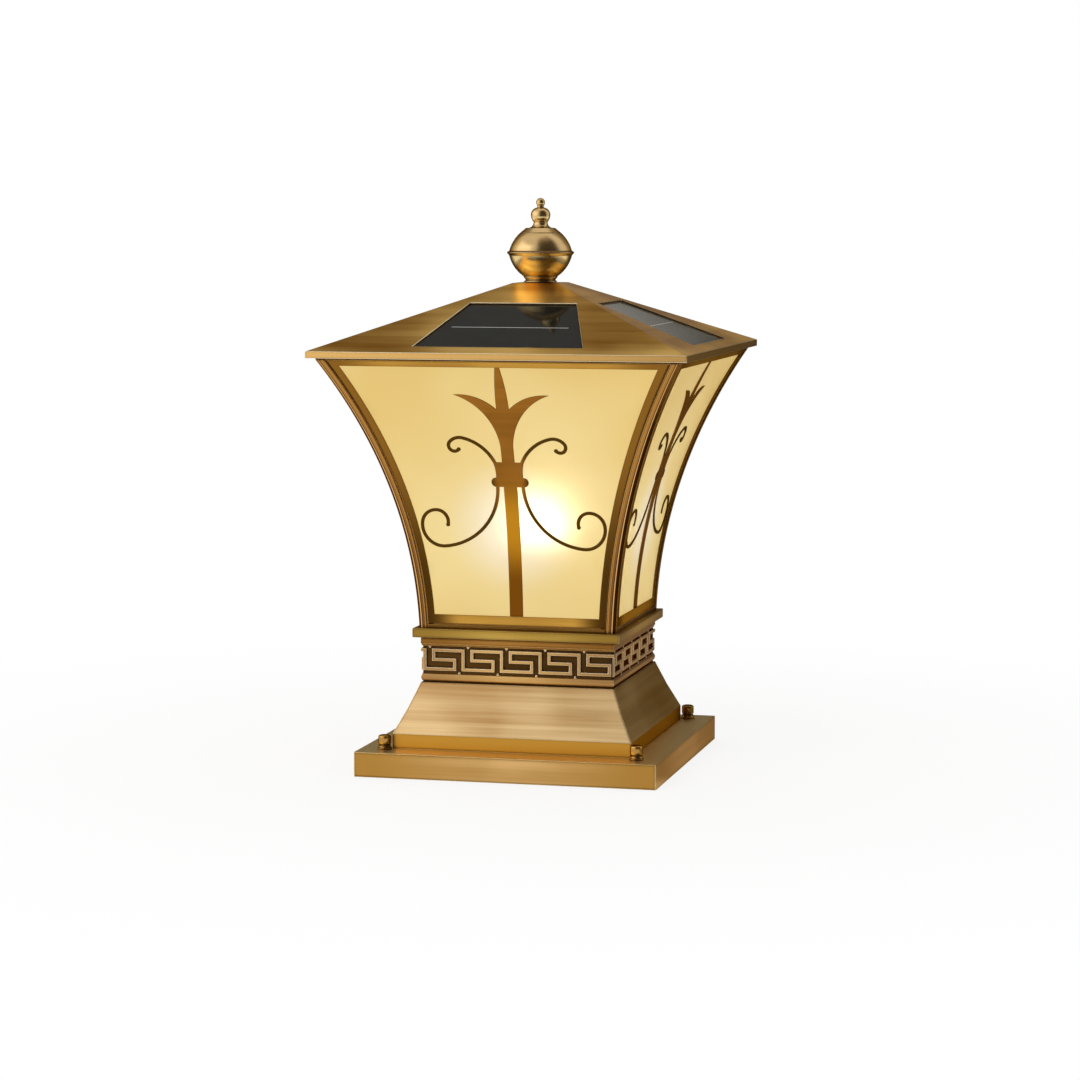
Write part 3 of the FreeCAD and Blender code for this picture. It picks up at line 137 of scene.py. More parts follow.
class Graph:
    """One material's node tree. Each call adds a node and returns its output socket."""

    def __init__(self, name):
        self.material = bpy.data.materials.new(name)
        self.material.use_nodes = True
        self.tree = self.material.node_tree
        self.tree.nodes.clear()
        self.output = self.tree.nodes.new("ShaderNodeOutputMaterial")

    def add(self, kind, out=0, ins=None, **settings):
        """A node of a kind, with its settings, values or links for its inputs, and one output."""
        node = self.tree.nodes.new(kind)
        for name, value in settings.items():
            setattr(node, name, value)
        for key, value in (ins or {}).items():
            socket = node.inputs[key]
            if isinstance(value, bpy.types.NodeSocket):
                self.tree.links.new(value, socket)
            else:
                socket.default_value = value
        return node.outputs[out]

    def sum(self, operation, first, second=0.0):
        """One step of arithmetic."""
        return self.add("ShaderNodeMath", ins={0: first, 1: second}, operation=operation)

    def place(self):
        """The point in the model's own frame, which moves with its body."""
        return self.add("ShaderNodeTexCoord", out="Object")

    def split(self, vector):
        """The three parts of a vector."""
        node = self.tree.nodes.new("ShaderNodeSeparateXYZ")
        self.tree.links.new(vector, node.inputs[0])
        return node.outputs

    def vector(self, x, y, z):
        """A vector from its three parts."""
        return self.add("ShaderNodeCombineXYZ", ins={0: x, 1: y, 2: z})

    def scaled(self, vector, scale):
        """A vector with its parts multiplied."""
        return self.add("ShaderNodeVectorMath", ins={0: vector, 1: scale}, operation="MULTIPLY")

    def noise(self, vector, scale=1.0, detail=2.0, rough=0.5, distortion=0.0):
        """Smooth noise from 0 to 1."""
        return self.add("ShaderNodeTexNoise", ins={
            "Vector": vector, "Scale": scale, "Detail": detail, "Roughness": rough,
            "Distortion": distortion})

    def span(self, value, low, high, start=0.0, end=1.0, smooth=False):
        """A value carried from one range to another, held at its ends."""
        return self.add("ShaderNodeMapRange", ins={
            "Value": value, "From Min": low, "From Max": high, "To Min": start, "To Max": end},
            interpolation_type="SMOOTHSTEP" if smooth else "LINEAR")

    def dot(self, first, second):
        """How far two directions agree."""
        return self.add("ShaderNodeVectorMath", out="Value", ins={0: first, 1: second},
                        operation="DOT_PRODUCT")

    def mix(self, share, first, second):
        """A blend of two colours."""
        return self.add("ShaderNodeMix", out=2, ins={0: share, 6: first, 7: second},
                        data_type="RGBA")

    def finish(self, shader):
        """Set the shader that the surface shows."""
        self.tree.links.new(shader, self.output.inputs["Surface"])
        return self.material


def colour(code):
    """A colour written as six hexadecimal digits, as the picture shows it, in linear light."""
    parts = [int(code[start:start + 2], 16) / 255 for start in (0, 2, 4)]
    linear = [part / 12.92 if part <= 0.04045 else ((part + 0.055) / 1.055) ** 2.4
              for part in parts]
    return (*linear, 1.0)


def principled(graph, **values):
    """A surface whose inputs are given with underscores for spaces."""
    return graph.add("ShaderNodeBsdfPrincipled",
                     ins={name.replace("_", " "): value for name, value in values.items()})


def off_corner(graph):
    """How far a point lies from the diagonal plane through a square piece's corners."""
    x, y = graph.split(graph.place())[:2]
    return graph.sum("SUBTRACT", graph.sum("ABSOLUTE", x), graph.sum("ABSOLUTE", y))


def brushed_coordinates(graph, upright):
    """Coordinates stretched along the brushing: round the piece, or along a corner post.

    On a level face the lines run beside the nearest edge.
    """
    place = graph.place()
    x, y, z = graph.split(place)
    if upright:
        return graph.vector(off_corner(graph), 0.0, graph.sum("MULTIPLY", z, BRUSH_STRETCH))
    normal_up = graph.split(graph.add("ShaderNodeNewGeometry", out="True Normal"))[2]
    level = graph.span(graph.sum("ABSOLUTE", normal_up), 0.97, 0.99)
    out = graph.sum("MAXIMUM", graph.sum("ABSOLUTE", x), graph.sum("ABSOLUTE", y))
    across = graph.sum("ADD", graph.sum("MULTIPLY", out, level),
                       graph.sum("MULTIPLY", z, graph.sum("SUBTRACT", 1.0, level)))
    along = graph.vector(x, y, 0.0)
    return graph.add("ShaderNodeVectorMath", ins={
        0: graph.scaled(along, (BRUSH_STRETCH, BRUSH_STRETCH, 0.0)),
        1: graph.vector(0.0, 0.0, across)},
        operation="ADD")


def brushed_tone(graph, lines, grain, clouding, cloud_scale, cloud_from):
    """How bright the metal is, from 0 to 1, with the streaks and hairlines that it is made of."""
    streaks = graph.noise(lines, scale=STREAK_SCALE, detail=4.0, rough=0.65)
    hairs = graph.noise(lines, scale=HAIR_SCALE, detail=2.0, rough=0.7)
    bands = graph.noise(lines, scale=BAND_SCALE, detail=1.0, rough=0.5)
    cloud_place = graph.add("ShaderNodeVectorMath", ins={
        0: graph.scaled(graph.place(), CLOUD_SQUASH), 1: graph.vector(cloud_from, 0.0, 0.0)},
        operation="ADD")
    clouds = graph.noise(cloud_place, scale=cloud_scale, detail=2.0, rough=0.5, distortion=0.2)
    streak_share = graph.span(streaks, 0.32, 0.68)
    band_share = graph.span(bands, 0.36, 0.64, smooth=True)
    cloud_share = graph.span(clouds, *CLOUD_RANGE, smooth=True)
    tone = graph.sum("ADD", graph.sum("MULTIPLY", streak_share, STREAK_PART * grain),
                     graph.sum("MULTIPLY", cloud_share, clouding))
    tone = graph.sum("ADD", tone, graph.sum("MULTIPLY", band_share, BAND_PART * grain))
    middle = (1.0 - (STREAK_PART + BAND_PART) * grain - clouding) / 2
    return graph.sum("ADD", tone, middle), streaks, hairs


def placed_tones(graph, base, true_normal, painted_ends_shade, ends_from, foot_tone, painted_underside_light,
                 painted_slant_shade, painted_tilt_tone):
    """Other colours: painted light and shade by the way a face looks and by its place on the
    piece, and a tone low down.
    """
    # Painted light on faces that look down.
    if painted_underside_light:
        base = graph.mix(graph.span(true_normal[2], *UNDER_FACE), base, colour(painted_underside_light))
    ends = 1.0
    # Painted shade towards the corners of a square piece.
    if painted_ends_shade:
        x, y = graph.split(graph.place())[:2]
        x, y = graph.sum("ABSOLUTE", x), graph.sum("ABSOLUTE", y)
        ratio = graph.sum("DIVIDE", graph.sum("MINIMUM", x, y),
                          graph.sum("ADD", graph.sum("MAXIMUM", x, y), SMALL_LENGTH))
        ends = graph.span(ratio, ends_from, ENDS_FULL, smooth=True)
        base = graph.mix(ends, base, colour(painted_ends_shade))
    if foot_tone:
        foot = graph.span(graph.split(graph.place())[2], *FOOT_HEIGHTS, smooth=True)
        base = graph.mix(graph.sum("MULTIPLY", foot, ends), base, colour(foot_tone))
    # Painted light and shade by how far a face tilts.
    if painted_tilt_tone:
        low, high, code = painted_tilt_tone
        level = graph.sum("ABSOLUTE", true_normal[2])
        base = graph.mix(graph.span(level, low, high), base, colour(code))
    # Painted shade on faces that stand at 45 degrees.
    if painted_slant_shade:
        slant = graph.sum("MULTIPLY", graph.sum("ABSOLUTE", true_normal[0]),
                          graph.sum("ABSOLUTE", true_normal[1]))
        base = graph.mix(graph.span(slant, *SLANT_FACE), base, colour(painted_slant_shade))
    return base


def rubbing_and_painted_light(graph, true_normal, edge, rub_and_highlight_amount, reach, patina_and_shade, outline):
    """The normal with rounded edges, the share of rubbed edge with a painted highlight, and the
    share of dark patina with painted shade.
    """
    face_normal = graph.add("ShaderNodeNewGeometry", out="Normal")
    # The bevelled normal marks the edges, which take a rubbed colour and a painted highlight.
    round_normal = graph.add("ShaderNodeBevel", ins={"Radius": edge}, samples=RAY_SAMPLES)
    rub_and_highlight_share = graph.span(graph.dot(round_normal, face_normal), *EDGE_RUB_AND_HIGHLIGHT, 0.0, rub_and_highlight_amount)
    wide_normal = graph.add("ShaderNodeBevel", ins={"Radius": WIDE_BEVEL * edge},
                            samples=RAY_SAMPLES)
    wide = graph.dot(wide_normal, face_normal)
    # Ambient occlusion darkens corners and creases as patina and painted shade; the wide bevel
    # adds the same beside edges.
    corner = graph.add("ShaderNodeAmbientOcclusion", out="AO", ins={"Distance": reach},
                       samples=RAY_SAMPLES)
    patina_and_shade_share = graph.sum("MAXIMUM", graph.span(corner, *CORNER_PATINA_AND_SHADE, 0.0, patina_and_shade),
                           graph.span(wide, *OUTLINE_PATINA_AND_SHADE, 0.0, outline))
    level = graph.sum("ABSOLUTE", true_normal[2])
    patina_and_shade_share = graph.sum("MULTIPLY", patina_and_shade_share,
                           graph.span(level, *LEVEL_FACE, 1.0, LEVEL_PATINA_AND_SHADE))
    return round_normal, rub_and_highlight_share, patina_and_shade_share


def paint_fluting_lines(graph, base, painted_fluting_lines):
    """Painted highlight and shade lines along the corner of a square piece, standing in for
    fluting.
    """
    from_corner = graph.sum("ABSOLUTE", off_corner(graph))
    for begin, end, tone in painted_fluting_lines:
        on_line = graph.sum("MULTIPLY", graph.sum("GREATER_THAN", from_corner, begin),
                            graph.sum("LESS_THAN", from_corner, end))
        base = graph.mix(on_line, base, colour(tone))
    return base


def paint_stem_glow(graph, base, dark, painted_glow_tone):
    """A scroll ornament: dark thin straps, and a stem painted warmer in front of the bulb, a
    painted glow of its light.
    """
    x, y, z = graph.split(graph.place())
    along = graph.sum("MINIMUM", graph.sum("ABSOLUTE", x), graph.sum("ABSOLUTE", y))
    away = graph.sum("ABSOLUTE", graph.sum("SUBTRACT", z, BULB_CENTRE.z))
    stem = graph.sum("MULTIPLY", graph.span(along, STRAP_FROM, STRAP_FROM - STEM_EDGE),
                     graph.span(away, *STEM_FADE, smooth=True))
    facing = graph.sum("MULTIPLY", off_corner(graph), -1.0)
    stem = graph.sum("MULTIPLY", stem, graph.span(facing, *STEM_TURN, STEM_SIDE, 1.0))
    strap = graph.sum("MULTIPLY", graph.span(along, STRAP_FROM, STRAP_FROM + STRAP_EDGE),
                      graph.span(z, STRAP_TOP, STRAP_TOP - STRAP_EDGE))
    base = graph.mix(strap, base, colour(dark))
    return graph.mix(stem, base, colour(painted_glow_tone))


def brass(name, bright, deep, dark, rim=None, roughness=0.36, grain=1.0, upright=False,
          edge=0.001, turned=False, rub_and_highlight_amount=0.85, patina_and_shade=0.9, reach=0.003, clouding=0.4,
          cloud_scale=13.0, cloud_from=0.0, outline=0.65, edge_tint="FFF0DC", painted_ends_shade=None,
          ends_from=0.15, foot_tone=None, painted_underside_light=None, painted_slant_shade=None, painted_tilt_tone=None,
          painted_glow_tone=None, painted_fluting_lines=()):
    """Brushed antique brass: hairlines, cloudy patina, corners darkened by patina and painted
    shade, and edges brightened by rubbing and a painted highlight.

    The rim colour marks the edges, as rubbing and a painted highlight. The slant shade is painted
    shade on the faces that stand at 45 degrees. The tilt tone is painted light and shade for
    faces whose normal rises from one share to another. The ends shade is painted shade towards
    the corners of a square piece, and the foot tone shows low down. The underside light is
    painted light on faces that look down. The glow tone is a warmer colour in front of the bulb,
    a painted glow of its light. The outline is a dark line beside a rubbed edge, as patina and
    painted shade.
    The edge tint is the colour that the metal keeps at a grazing angle. The fluting lines are
    painted highlight and shade lines beside the corner of a square piece, standing in for
    fluting:
    where each begins and ends, and its tone. Heavy clouding, as on the roof, is patina and
    painted highlight patches.
    """
    graph = Graph(name)
    lines = brushed_coordinates(graph, upright)
    tone, streaks, hairs = brushed_tone(graph, lines, grain, clouding, cloud_scale, cloud_from)
    true_normal = graph.split(graph.add("ShaderNodeNewGeometry", out="True Normal"))
    base = placed_tones(graph, graph.mix(tone, colour(deep), colour(bright)), true_normal,
                        painted_ends_shade, ends_from, foot_tone, painted_underside_light, painted_slant_shade, painted_tilt_tone)
    round_normal, rub_and_highlight_share, patina_and_shade_share = rubbing_and_painted_light(
        graph, true_normal, edge, rub_and_highlight_amount, reach, patina_and_shade, outline)
    # Patina with painted shade, then rubbed edges with a painted highlight.
    base = graph.mix(patina_and_shade_share, base, colour(dark))
    base = graph.mix(rub_and_highlight_share, base, colour(rim or bright))
    # Painted highlight and shade lines standing in for fluting.
    if painted_fluting_lines:
        base = paint_fluting_lines(graph, base, painted_fluting_lines)
    # A painted glow of the bulb on the stems.
    if painted_glow_tone:
        base = paint_stem_glow(graph, base, dark, painted_glow_tone)
    rough = graph.sum("ADD", roughness - 0.05 * grain,
                      graph.sum("MULTIPLY", hairs, HAIR_ROUGHNESS * grain))
    height = graph.sum("ADD", graph.sum("MULTIPLY", streaks, 0.5),
                       graph.sum("MULTIPLY", hairs, 0.5))
    bump = graph.add("ShaderNodeBump", ins={
        "Strength": GRAIN_BUMP * grain, "Distance": BUMP_DEPTH, "Height": height,
        "Normal": round_normal})
    values = {"Base_Color": base, "Metallic": 1.0, "Roughness": rough, "Normal": bump,
              "Specular_Tint": colour(edge_tint)}
    if turned:
        values["Anisotropic"] = 0.5
        values["Tangent"] = graph.add("ShaderNodeTangent", direction_type="RADIAL", axis="Z")
    return graph.finish(principled(graph, **values))


def frosted_glass(name):
    """Frosted panes: a painted glow of the bulb that fades away from it, a painted white hot spot
    near it, painted shade below the frame's bottom rail, and a rough glass body that shows the
    bulb itself as a soft spot.
    """
    graph = Graph(name)
    place = graph.place()
    x, y, z = graph.split(place)
    along = graph.sum("MINIMUM", graph.sum("ABSOLUTE", x), graph.sum("ABSOLUTE", y))
    away = graph.sum("SQRT", graph.sum("ADD", graph.sum("POWER", along, 2.0), graph.sum(
        "POWER", graph.sum("SUBTRACT", z, BULB_CENTRE.z), 2.0)))
    clouds = graph.noise(place, scale=11.0, detail=1.0, rough=0.5, distortion=0.3)
    # Painted glow that fades away from the bulb, and a painted white hot spot near it.
    near = graph.span(away, *GLOW_FADE, smooth=True)
    painted_hot_spot = graph.span(away, *CORE_FADE, 0.0, CORE_SHARE, smooth=True)
    clouds = graph.span(clouds, *CLOUD_RANGE, smooth=True)
    tone = graph.sum("ADD", graph.sum("MULTIPLY", near, NEAR_PART),
                     graph.sum("MULTIPLY", clouds, CLOUD_PART))
    glow = graph.mix(tone, colour("E9C97A"), colour("F5DE9C"))
    glow = graph.mix(painted_hot_spot, glow, colour("FFFFFF"))
    # Painted shade on the glass below the frame's bottom rail.
    painted_shade_below_rail = graph.span(z, RAIL_LOW, RAIL_LOW + RAIL_TRIM)
    glow = graph.mix(painted_shade_below_rail, colour("6A4412"), glow)
    painted_glow_shader = graph.add("ShaderNodeEmission", ins={"Color": glow, "Strength": 1.0})
    body = principled(graph, Base_Color=colour("FAEBC6"), Roughness=0.45, IOR=GLASS_IOR,
                      Transmission_Weight=0.9)
    fresnel = graph.add("ShaderNodeFresnel", ins={"IOR": GLASS_IOR})
    gloss = graph.span(fresnel, 0.0, 1.0, *GLASS_GLOSS)
    return graph.finish(graph.add("ShaderNodeMixShader", ins={0: gloss, 1: painted_glow_shader, 2: body}))


def solar_cell(name):
    """Near-black cells under smooth glass, with one thin pale conductor across."""
    graph = Graph(name)
    x, y = graph.split(graph.place())[:2]
    wide = graph.sum("ABSOLUTE", x)
    deep = graph.sum("ABSOLUTE", y)
    out = graph.sum("MAXIMUM", wide, deep)
    side = graph.sum("MINIMUM", wide, deep)
    from_line = graph.sum("ABSOLUTE", graph.sum("SUBTRACT", out, CELL_LINE_OUT))
    on_line = graph.sum("LESS_THAN", from_line, CELL_LINE_WIDE / 2)
    within = graph.sum("LESS_THAN", side, CELL_LINE_HALF)
    line = graph.sum("MULTIPLY", on_line, within)
    fine = graph.noise(graph.place(), scale=60.0, detail=3.0)
    cell = graph.mix(graph.span(fine, 0.3, 0.7), colour("080A09"), colour("101412"))
    base = graph.mix(line, cell, colour("A7AAA6"))
    rough = graph.span(fine, 0.2, 0.8, 0.05, 0.1)
    return graph.finish(principled(graph, Base_Color=base, Roughness=rough, IOR=1.2,
                                   Sheen_Weight=0.3, Sheen_Roughness=0.25,
                                   Sheen_Tint=colour("D8D4C0")))


def plain(name, light, dark, roughness, metallic=0.0, scale=240.0, bump=0.05):
    """A plain stock with fine mottling: plastic, rubber, glaze or plated steel."""
    graph = Graph(name)
    fine = graph.noise(graph.place(), scale=scale, detail=3.0)
    base = graph.mix(graph.span(fine, 0.3, 0.7), colour(dark), colour(light))
    rough = graph.span(fine, 0.25, 0.75, roughness - 0.06, roughness + 0.06)
    normal = graph.add("ShaderNodeBump", ins={
        "Strength": bump, "Distance": BUMP_DEPTH, "Height": fine})
    return graph.finish(principled(graph, Base_Color=base, Roughness=rough, Metallic=metallic,
                                   Normal=normal))


def lit_globe(name):
    """The bulb's globe, alight."""
    graph = Graph(name)
    soft = graph.noise(graph.place(), scale=30.0, detail=1.0)
    tone = graph.mix(graph.span(soft, 0.3, 0.7), colour("FFF2DC"), colour("FFF8EC"))
    return graph.finish(principled(graph, Base_Color=tone, Roughness=0.4,
                                   Emission_Color=tone, Emission_Strength=34.0))


# The brasses by hue, rubbing, patina, painted light and painted shade, then the other stocks.
# Each
# painted fluting line: begin, end and tone.

POST_PAINTED_FLUTING_LINES = (
    (0.0023, 0.0031, "E0B070"), (0.0031, 0.0038, "54290A"), (0.0056, 0.0062, "C08A48"))

MATERIALS = {
    # General brass: painted shade towards the corners of square pieces and painted light on level
    # faces.
    "antique_brass": brass("antique_brass", "E0B474", "BC9050", "2A1605", rim="FFDC98",
                           roughness=0.33, edge_tint="F8E4C4", painted_ends_shade="B4863E",
                           painted_tilt_tone=(0.8, 0.95, "FFE8B0")),
    # Skirt brass: painted shade on its upright foot band.
    "skirt_brass": brass("skirt_brass", "E4C490", "B68E5A", "2A1605", rim="FFE4AC",
                         roughness=0.32, clouding=0.6, cloud_scale=9.0, edge_tint="D8BA88",
                         painted_tilt_tone=(0.2, 0.1, "C6923A")),
    # Roof brass: its heavy clouding is patina and painted highlight patches, and its upright lip
    # takes painted light.
    "roof_brass": brass("roof_brass", "FFD884", "8A5A1C", "241204", rim="FFF4D0",
                        edge_tint="F8E0BC", clouding=0.85, cloud_scale=7.5, cloud_from=0.3,
                        grain=0.5, roughness=0.28, edge=0.0009, rub_and_highlight_amount=1.0, outline=0.35,
                        painted_tilt_tone=(0.5, 0.3, "DCAE66")),
    # Post brass: painted shade towards the corners and on the 45 degree faces, a tone low down,
    # and painted fluting lines.
    "post_brass": brass("post_brass", "B88444", "84561E", "180C02", upright=True, patina_and_shade=1.0,
                        reach=0.004, rim="D6A65C", edge=0.0006, painted_slant_shade="46280C",
                        edge_tint="E0C090", painted_ends_shade="AA7A3A", foot_tone="7C5428",
                        painted_fluting_lines=POST_PAINTED_FLUTING_LINES),
    # Frame brass: painted shade towards the corners, and a tone low down.
    "frame_brass": brass("frame_brass", "D8A648", "A87832", "1A0D02", grain=0.6, patina_and_shade=1.0,
                         reach=0.004, rim="D6A65C", edge=0.0005, edge_tint="E0C090",
                         painted_ends_shade="8E6224", ends_from=0.55, foot_tone="4E340E"),
    # Sill brass: a darker copy of the brass, partly patina and partly painted shade where the
    # sill lies recessed under the frame's bottom rail.
    "shaded_sill_brass": brass("shaded_sill_brass", "A87C3C", "6E4A1C", "160A02", grain=0.6, patina_and_shade=1.0),
    # Collar and relief brass: painted shade towards the corners of the square band.
    "collar_brass": brass("collar_brass", "CCA854", "AC8838", "241204", rim="FFE8A8",
                          painted_ends_shade="9C7A34"),
    "relief_brass": brass("relief_brass", "E8BC78", "B08444", "1E0C02", rim="FFF4D4", grain=0.5,
                          edge=0.001, rub_and_highlight_amount=1.0, outline=0.0, painted_ends_shade="AC824E"),
    "band_brass": brass("band_brass", "5E401C", "3C2810", "120701", grain=0.7, patina_and_shade=1.0,
                        edge_tint="C09868"),
    # Fascia brass: painted shade towards the corners.
    "fascia_brass": brass("fascia_brass", "B88440", "906028", "241204", rim="F0C078",
                          painted_ends_shade="90622A"),
    # Finial brass: painted light on faces that look down.
    "finial_brass": brass("finial_brass", "D8BA88", "B08E52", "2A1605", roughness=0.2,
                          grain=0.5, turned=True, edge=0.0005, edge_tint="7A5A30",
                          painted_underside_light="FFE2A0"),
    "nut_brass": brass("nut_brass", "D0A052", "5A3C16", "1A0D02", roughness=0.16, grain=0.6,
                       turned=True, edge=0.0003, edge_tint="5A3C18", patina_and_shade=1.0, reach=0.0016),
    "ring_brass": brass("ring_brass", "7A5226", "4A2E10", "140A02", grain=0.5, rim="E0AC60",
                        edge=0.0007),
    # Ornament bronze: a painted glow of the bulb on the stems, and a tone low down.
    "dark_bronze": brass("dark_bronze", "A8702A", "7C4E18", "54380F", rim="5E4216", grain=0.5,
                         edge=0.0007, reach=0.001, outline=0.0, edge_tint="E0C8A0",
                         foot_tone="7C4A0E", painted_glow_tone="C4871E"),
    "frosted_glass": frosted_glass("frosted_glass"),
    "solar_cell": solar_cell("solar_cell"),
    "bulb_globe": lit_globe("bulb_globe"),
    "zinc_steel": plain("zinc_steel", "B4B7B8", "8C8F91", 0.35, metallic=1.0),
    "seal_rubber": plain("seal_rubber", "1B1B1B", "101010", 0.7),
    "cap_aluminium": plain("cap_aluminium", "C9C9C6", "A5A5A2", 0.3, metallic=1.0),
    "holder_ceramic": plain("holder_ceramic", "EFECE4", "E2DED4", 0.2, scale=90.0),
    "white_plastic": plain("white_plastic", "EDEDEA", "E1E1DD", 0.3),
    "cell_wrap": plain("cell_wrap", "4E7F5B", "3F6B4B", 0.3),
    "board": plain("board", "1F6A38", "17532B", 0.4),
    "black_plastic": plain("black_plastic", "1C1C1C", "121212", 0.5, scale=600.0),
}

# Nodes whose brass differs from the rest

BRASS_BY_NODE = {
    "plinth_skirt": "skirt_brass",
    "key_relief": "relief_brass",
    "band_bead": "relief_brass",
    "key_band": "band_brass",
    "band_fascia": "fascia_brass",
    "collar_plate": "collar_brass",
    "sill_bars": "shaded_sill_brass",
    "roof_shell": "roof_brass",
    "top_ring": "ring_brass",
    "cap_nuts": "nut_brass",
    "base_washers": "ring_brass",
}
BRASS_BY_STEM = {"post_": "post_brass", "frame_": "frame_brass", "finial_": "finial_brass"}


def material_of(node, slot):
    """The material of a node, from its own name where brass differs, else from its slot."""
    if node in BRASS_BY_NODE:
        return MATERIALS[BRASS_BY_NODE[node]]
    if slot != "antique_brass":
        return MATERIALS[slot]
    for stem, name in BRASS_BY_STEM.items():
        if node.startswith(stem):
            return MATERIALS[name]
    return MATERIALS["antique_brass"]


def dress_nodes():
    """Give every CAD node its material."""
    slots = {entry["node"]: entry["material_slot"] for entry in frame["record"]["subparts"]}
    for name, thing in nodes.items():
        thing.data.materials.clear()
        thing.data.materials.append(material_of(name, slots[name]))


dress_nodes()


# Cap nuts, turned: a foot ring, a bead, a neck and a nearly flat cap. Millimetres above the seat.

NUT_PROFILE = (
    (3.2, 0.0), (4.6, 0.0), (4.9, 0.25), (4.9, 1.1), (4.6, 1.4), (4.0, 1.5), (4.0, 1.9),
    (4.5, 2.0), (4.75, 2.25), (4.5, 2.5), (3.9, 2.6), (3.9, 3.0), (4.3, 3.05), (4.9, 3.3),
    (5.0, 3.7), (5.0, 8.6), (4.85, 9.2), (4.3, 9.75), (3.2, 10.1), (1.6, 10.28), (0.0, 10.3))
NUT_RADIUS = 0.0049
NUT_TURNS = 48
SHARP_ANGLE = math.radians(50)


def make_nuts():
    """The four cap nuts as one piece, each where its CAD nut stands."""
    low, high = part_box("cap_nuts")
    place = high[0] - NUT_RADIUS
    shape = bmesh.new()
    for side_x, side_y in ((1, 1), (-1, 1), (-1, -1), (1, -1)):
        rings = []
        for radius, height in NUT_PROFILE:
            ring = []
            for turn in range(NUT_TURNS if radius else 1):
                angle = 2 * math.pi * turn / NUT_TURNS
                ring.append(shape.verts.new((
                    side_x * place + radius / 1000 * math.cos(angle),
                    side_y * place + radius / 1000 * math.sin(angle), low[2] + height / 1000)))
            rings.append(ring)
        for lower, upper in zip(rings, rings[1:]):
            for turn in range(NUT_TURNS):
                following = (turn + 1) % NUT_TURNS
                corners = [lower[turn], lower[following]]
                corners += [upper[0]] if len(upper) == 1 else [upper[following], upper[turn]]
                shape.faces.new(corners).smooth = True
        shape.faces.new(reversed(rings[0]))
    mesh = bpy.data.meshes.new("cap_nuts_turned")
    shape.to_mesh(mesh)
    shape.free()
    mesh.set_sharp_from_angle(angle=SHARP_ANGLE)
    mesh.materials.append(MATERIALS["nut_brass"])
    piece = bpy.data.objects.new("cap_nuts_turned", mesh)
    bpy.context.scene.collection.objects.link(piece)
    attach(piece, "base")
    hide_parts("cap_nuts")


make_nuts()


# Stage, light and camera

FLOOR_SIZE = 12.0
FLOOR_DROP = 0.0002
FLOOR_FADE = (0.25, 0.75)
FLOOR_NEAR = 0.82
ROOM_LIGHT = 0.75
CARD_STEPS = 32
CARD_RISE = 0.0004
WALL_OUT = 0.95
MIDDLE = (0.0, 0.0, 0.2)


def make_floor():
    """A pale floor that reads white in the picture and keeps a soft shadow."""
    bpy.ops.mesh.primitive_plane_add(size=FLOOR_SIZE, location=(0, 0, -FLOOR_DROP))
    floor = bpy.context.object
    floor.name = "floor"
    graph = Graph("floor")
    path = graph.tree.nodes.new("ShaderNodeLightPath")
    seen = graph.sum("MAXIMUM", path.outputs["Is Camera Ray"], graph.sum(
        "MAXIMUM", path.outputs["Is Glossy Ray"], path.outputs["Is Transmission Ray"]))
    paper = graph.add("ShaderNodeBsdfDiffuse", ins={"Color": (0.9, 0.9, 0.9, 1.0)})
    white = graph.add("ShaderNodeEmission", ins={"Color": (1.0, 1.0, 1.0, 1.0), "Strength": 1.0})
    x, y = graph.split(graph.place())[:2]
    away = graph.sum("SQRT", graph.sum("ADD", graph.sum("POWER", x, 2.0),
                                       graph.sum("POWER", y, 2.0)))
    share = graph.sum("MULTIPLY", seen, graph.span(away, *FLOOR_FADE, FLOOR_NEAR, 1.0))
    floor.data.materials.append(
        graph.finish(graph.add("ShaderNodeMixShader", ins={0: share, 1: paper, 2: white})))


def make_world():
    """White where the camera, metal and glass see it, and a dimmer light on what is matt."""
    world = bpy.data.worlds.new("studio")
    world.use_nodes = True
    tree = world.node_tree
    tree.nodes.clear()

    def larger(first, second):
        """The larger of two values."""
        node = tree.nodes.new("ShaderNodeMath")
        node.operation = "MAXIMUM"
        for socket, value in zip(node.inputs, (first, second)):
            if isinstance(value, bpy.types.NodeSocket):
                tree.links.new(value, socket)
            else:
                socket.default_value = value
        return node.outputs[0]

    path = tree.nodes.new("ShaderNodeLightPath")
    seen = larger(larger(path.outputs["Is Camera Ray"], path.outputs["Is Glossy Ray"]),
                  path.outputs["Is Transmission Ray"])
    background = tree.nodes.new("ShaderNodeBackground")
    background.inputs["Color"].default_value = (1.0, 1.0, 1.0, 1.0)
    tree.links.new(larger(seen, ROOM_LIGHT), background.inputs["Strength"])
    output = tree.nodes.new("ShaderNodeOutputWorld")
    tree.links.new(background.outputs[0], output.inputs["Surface"])
    bpy.context.scene.world = world


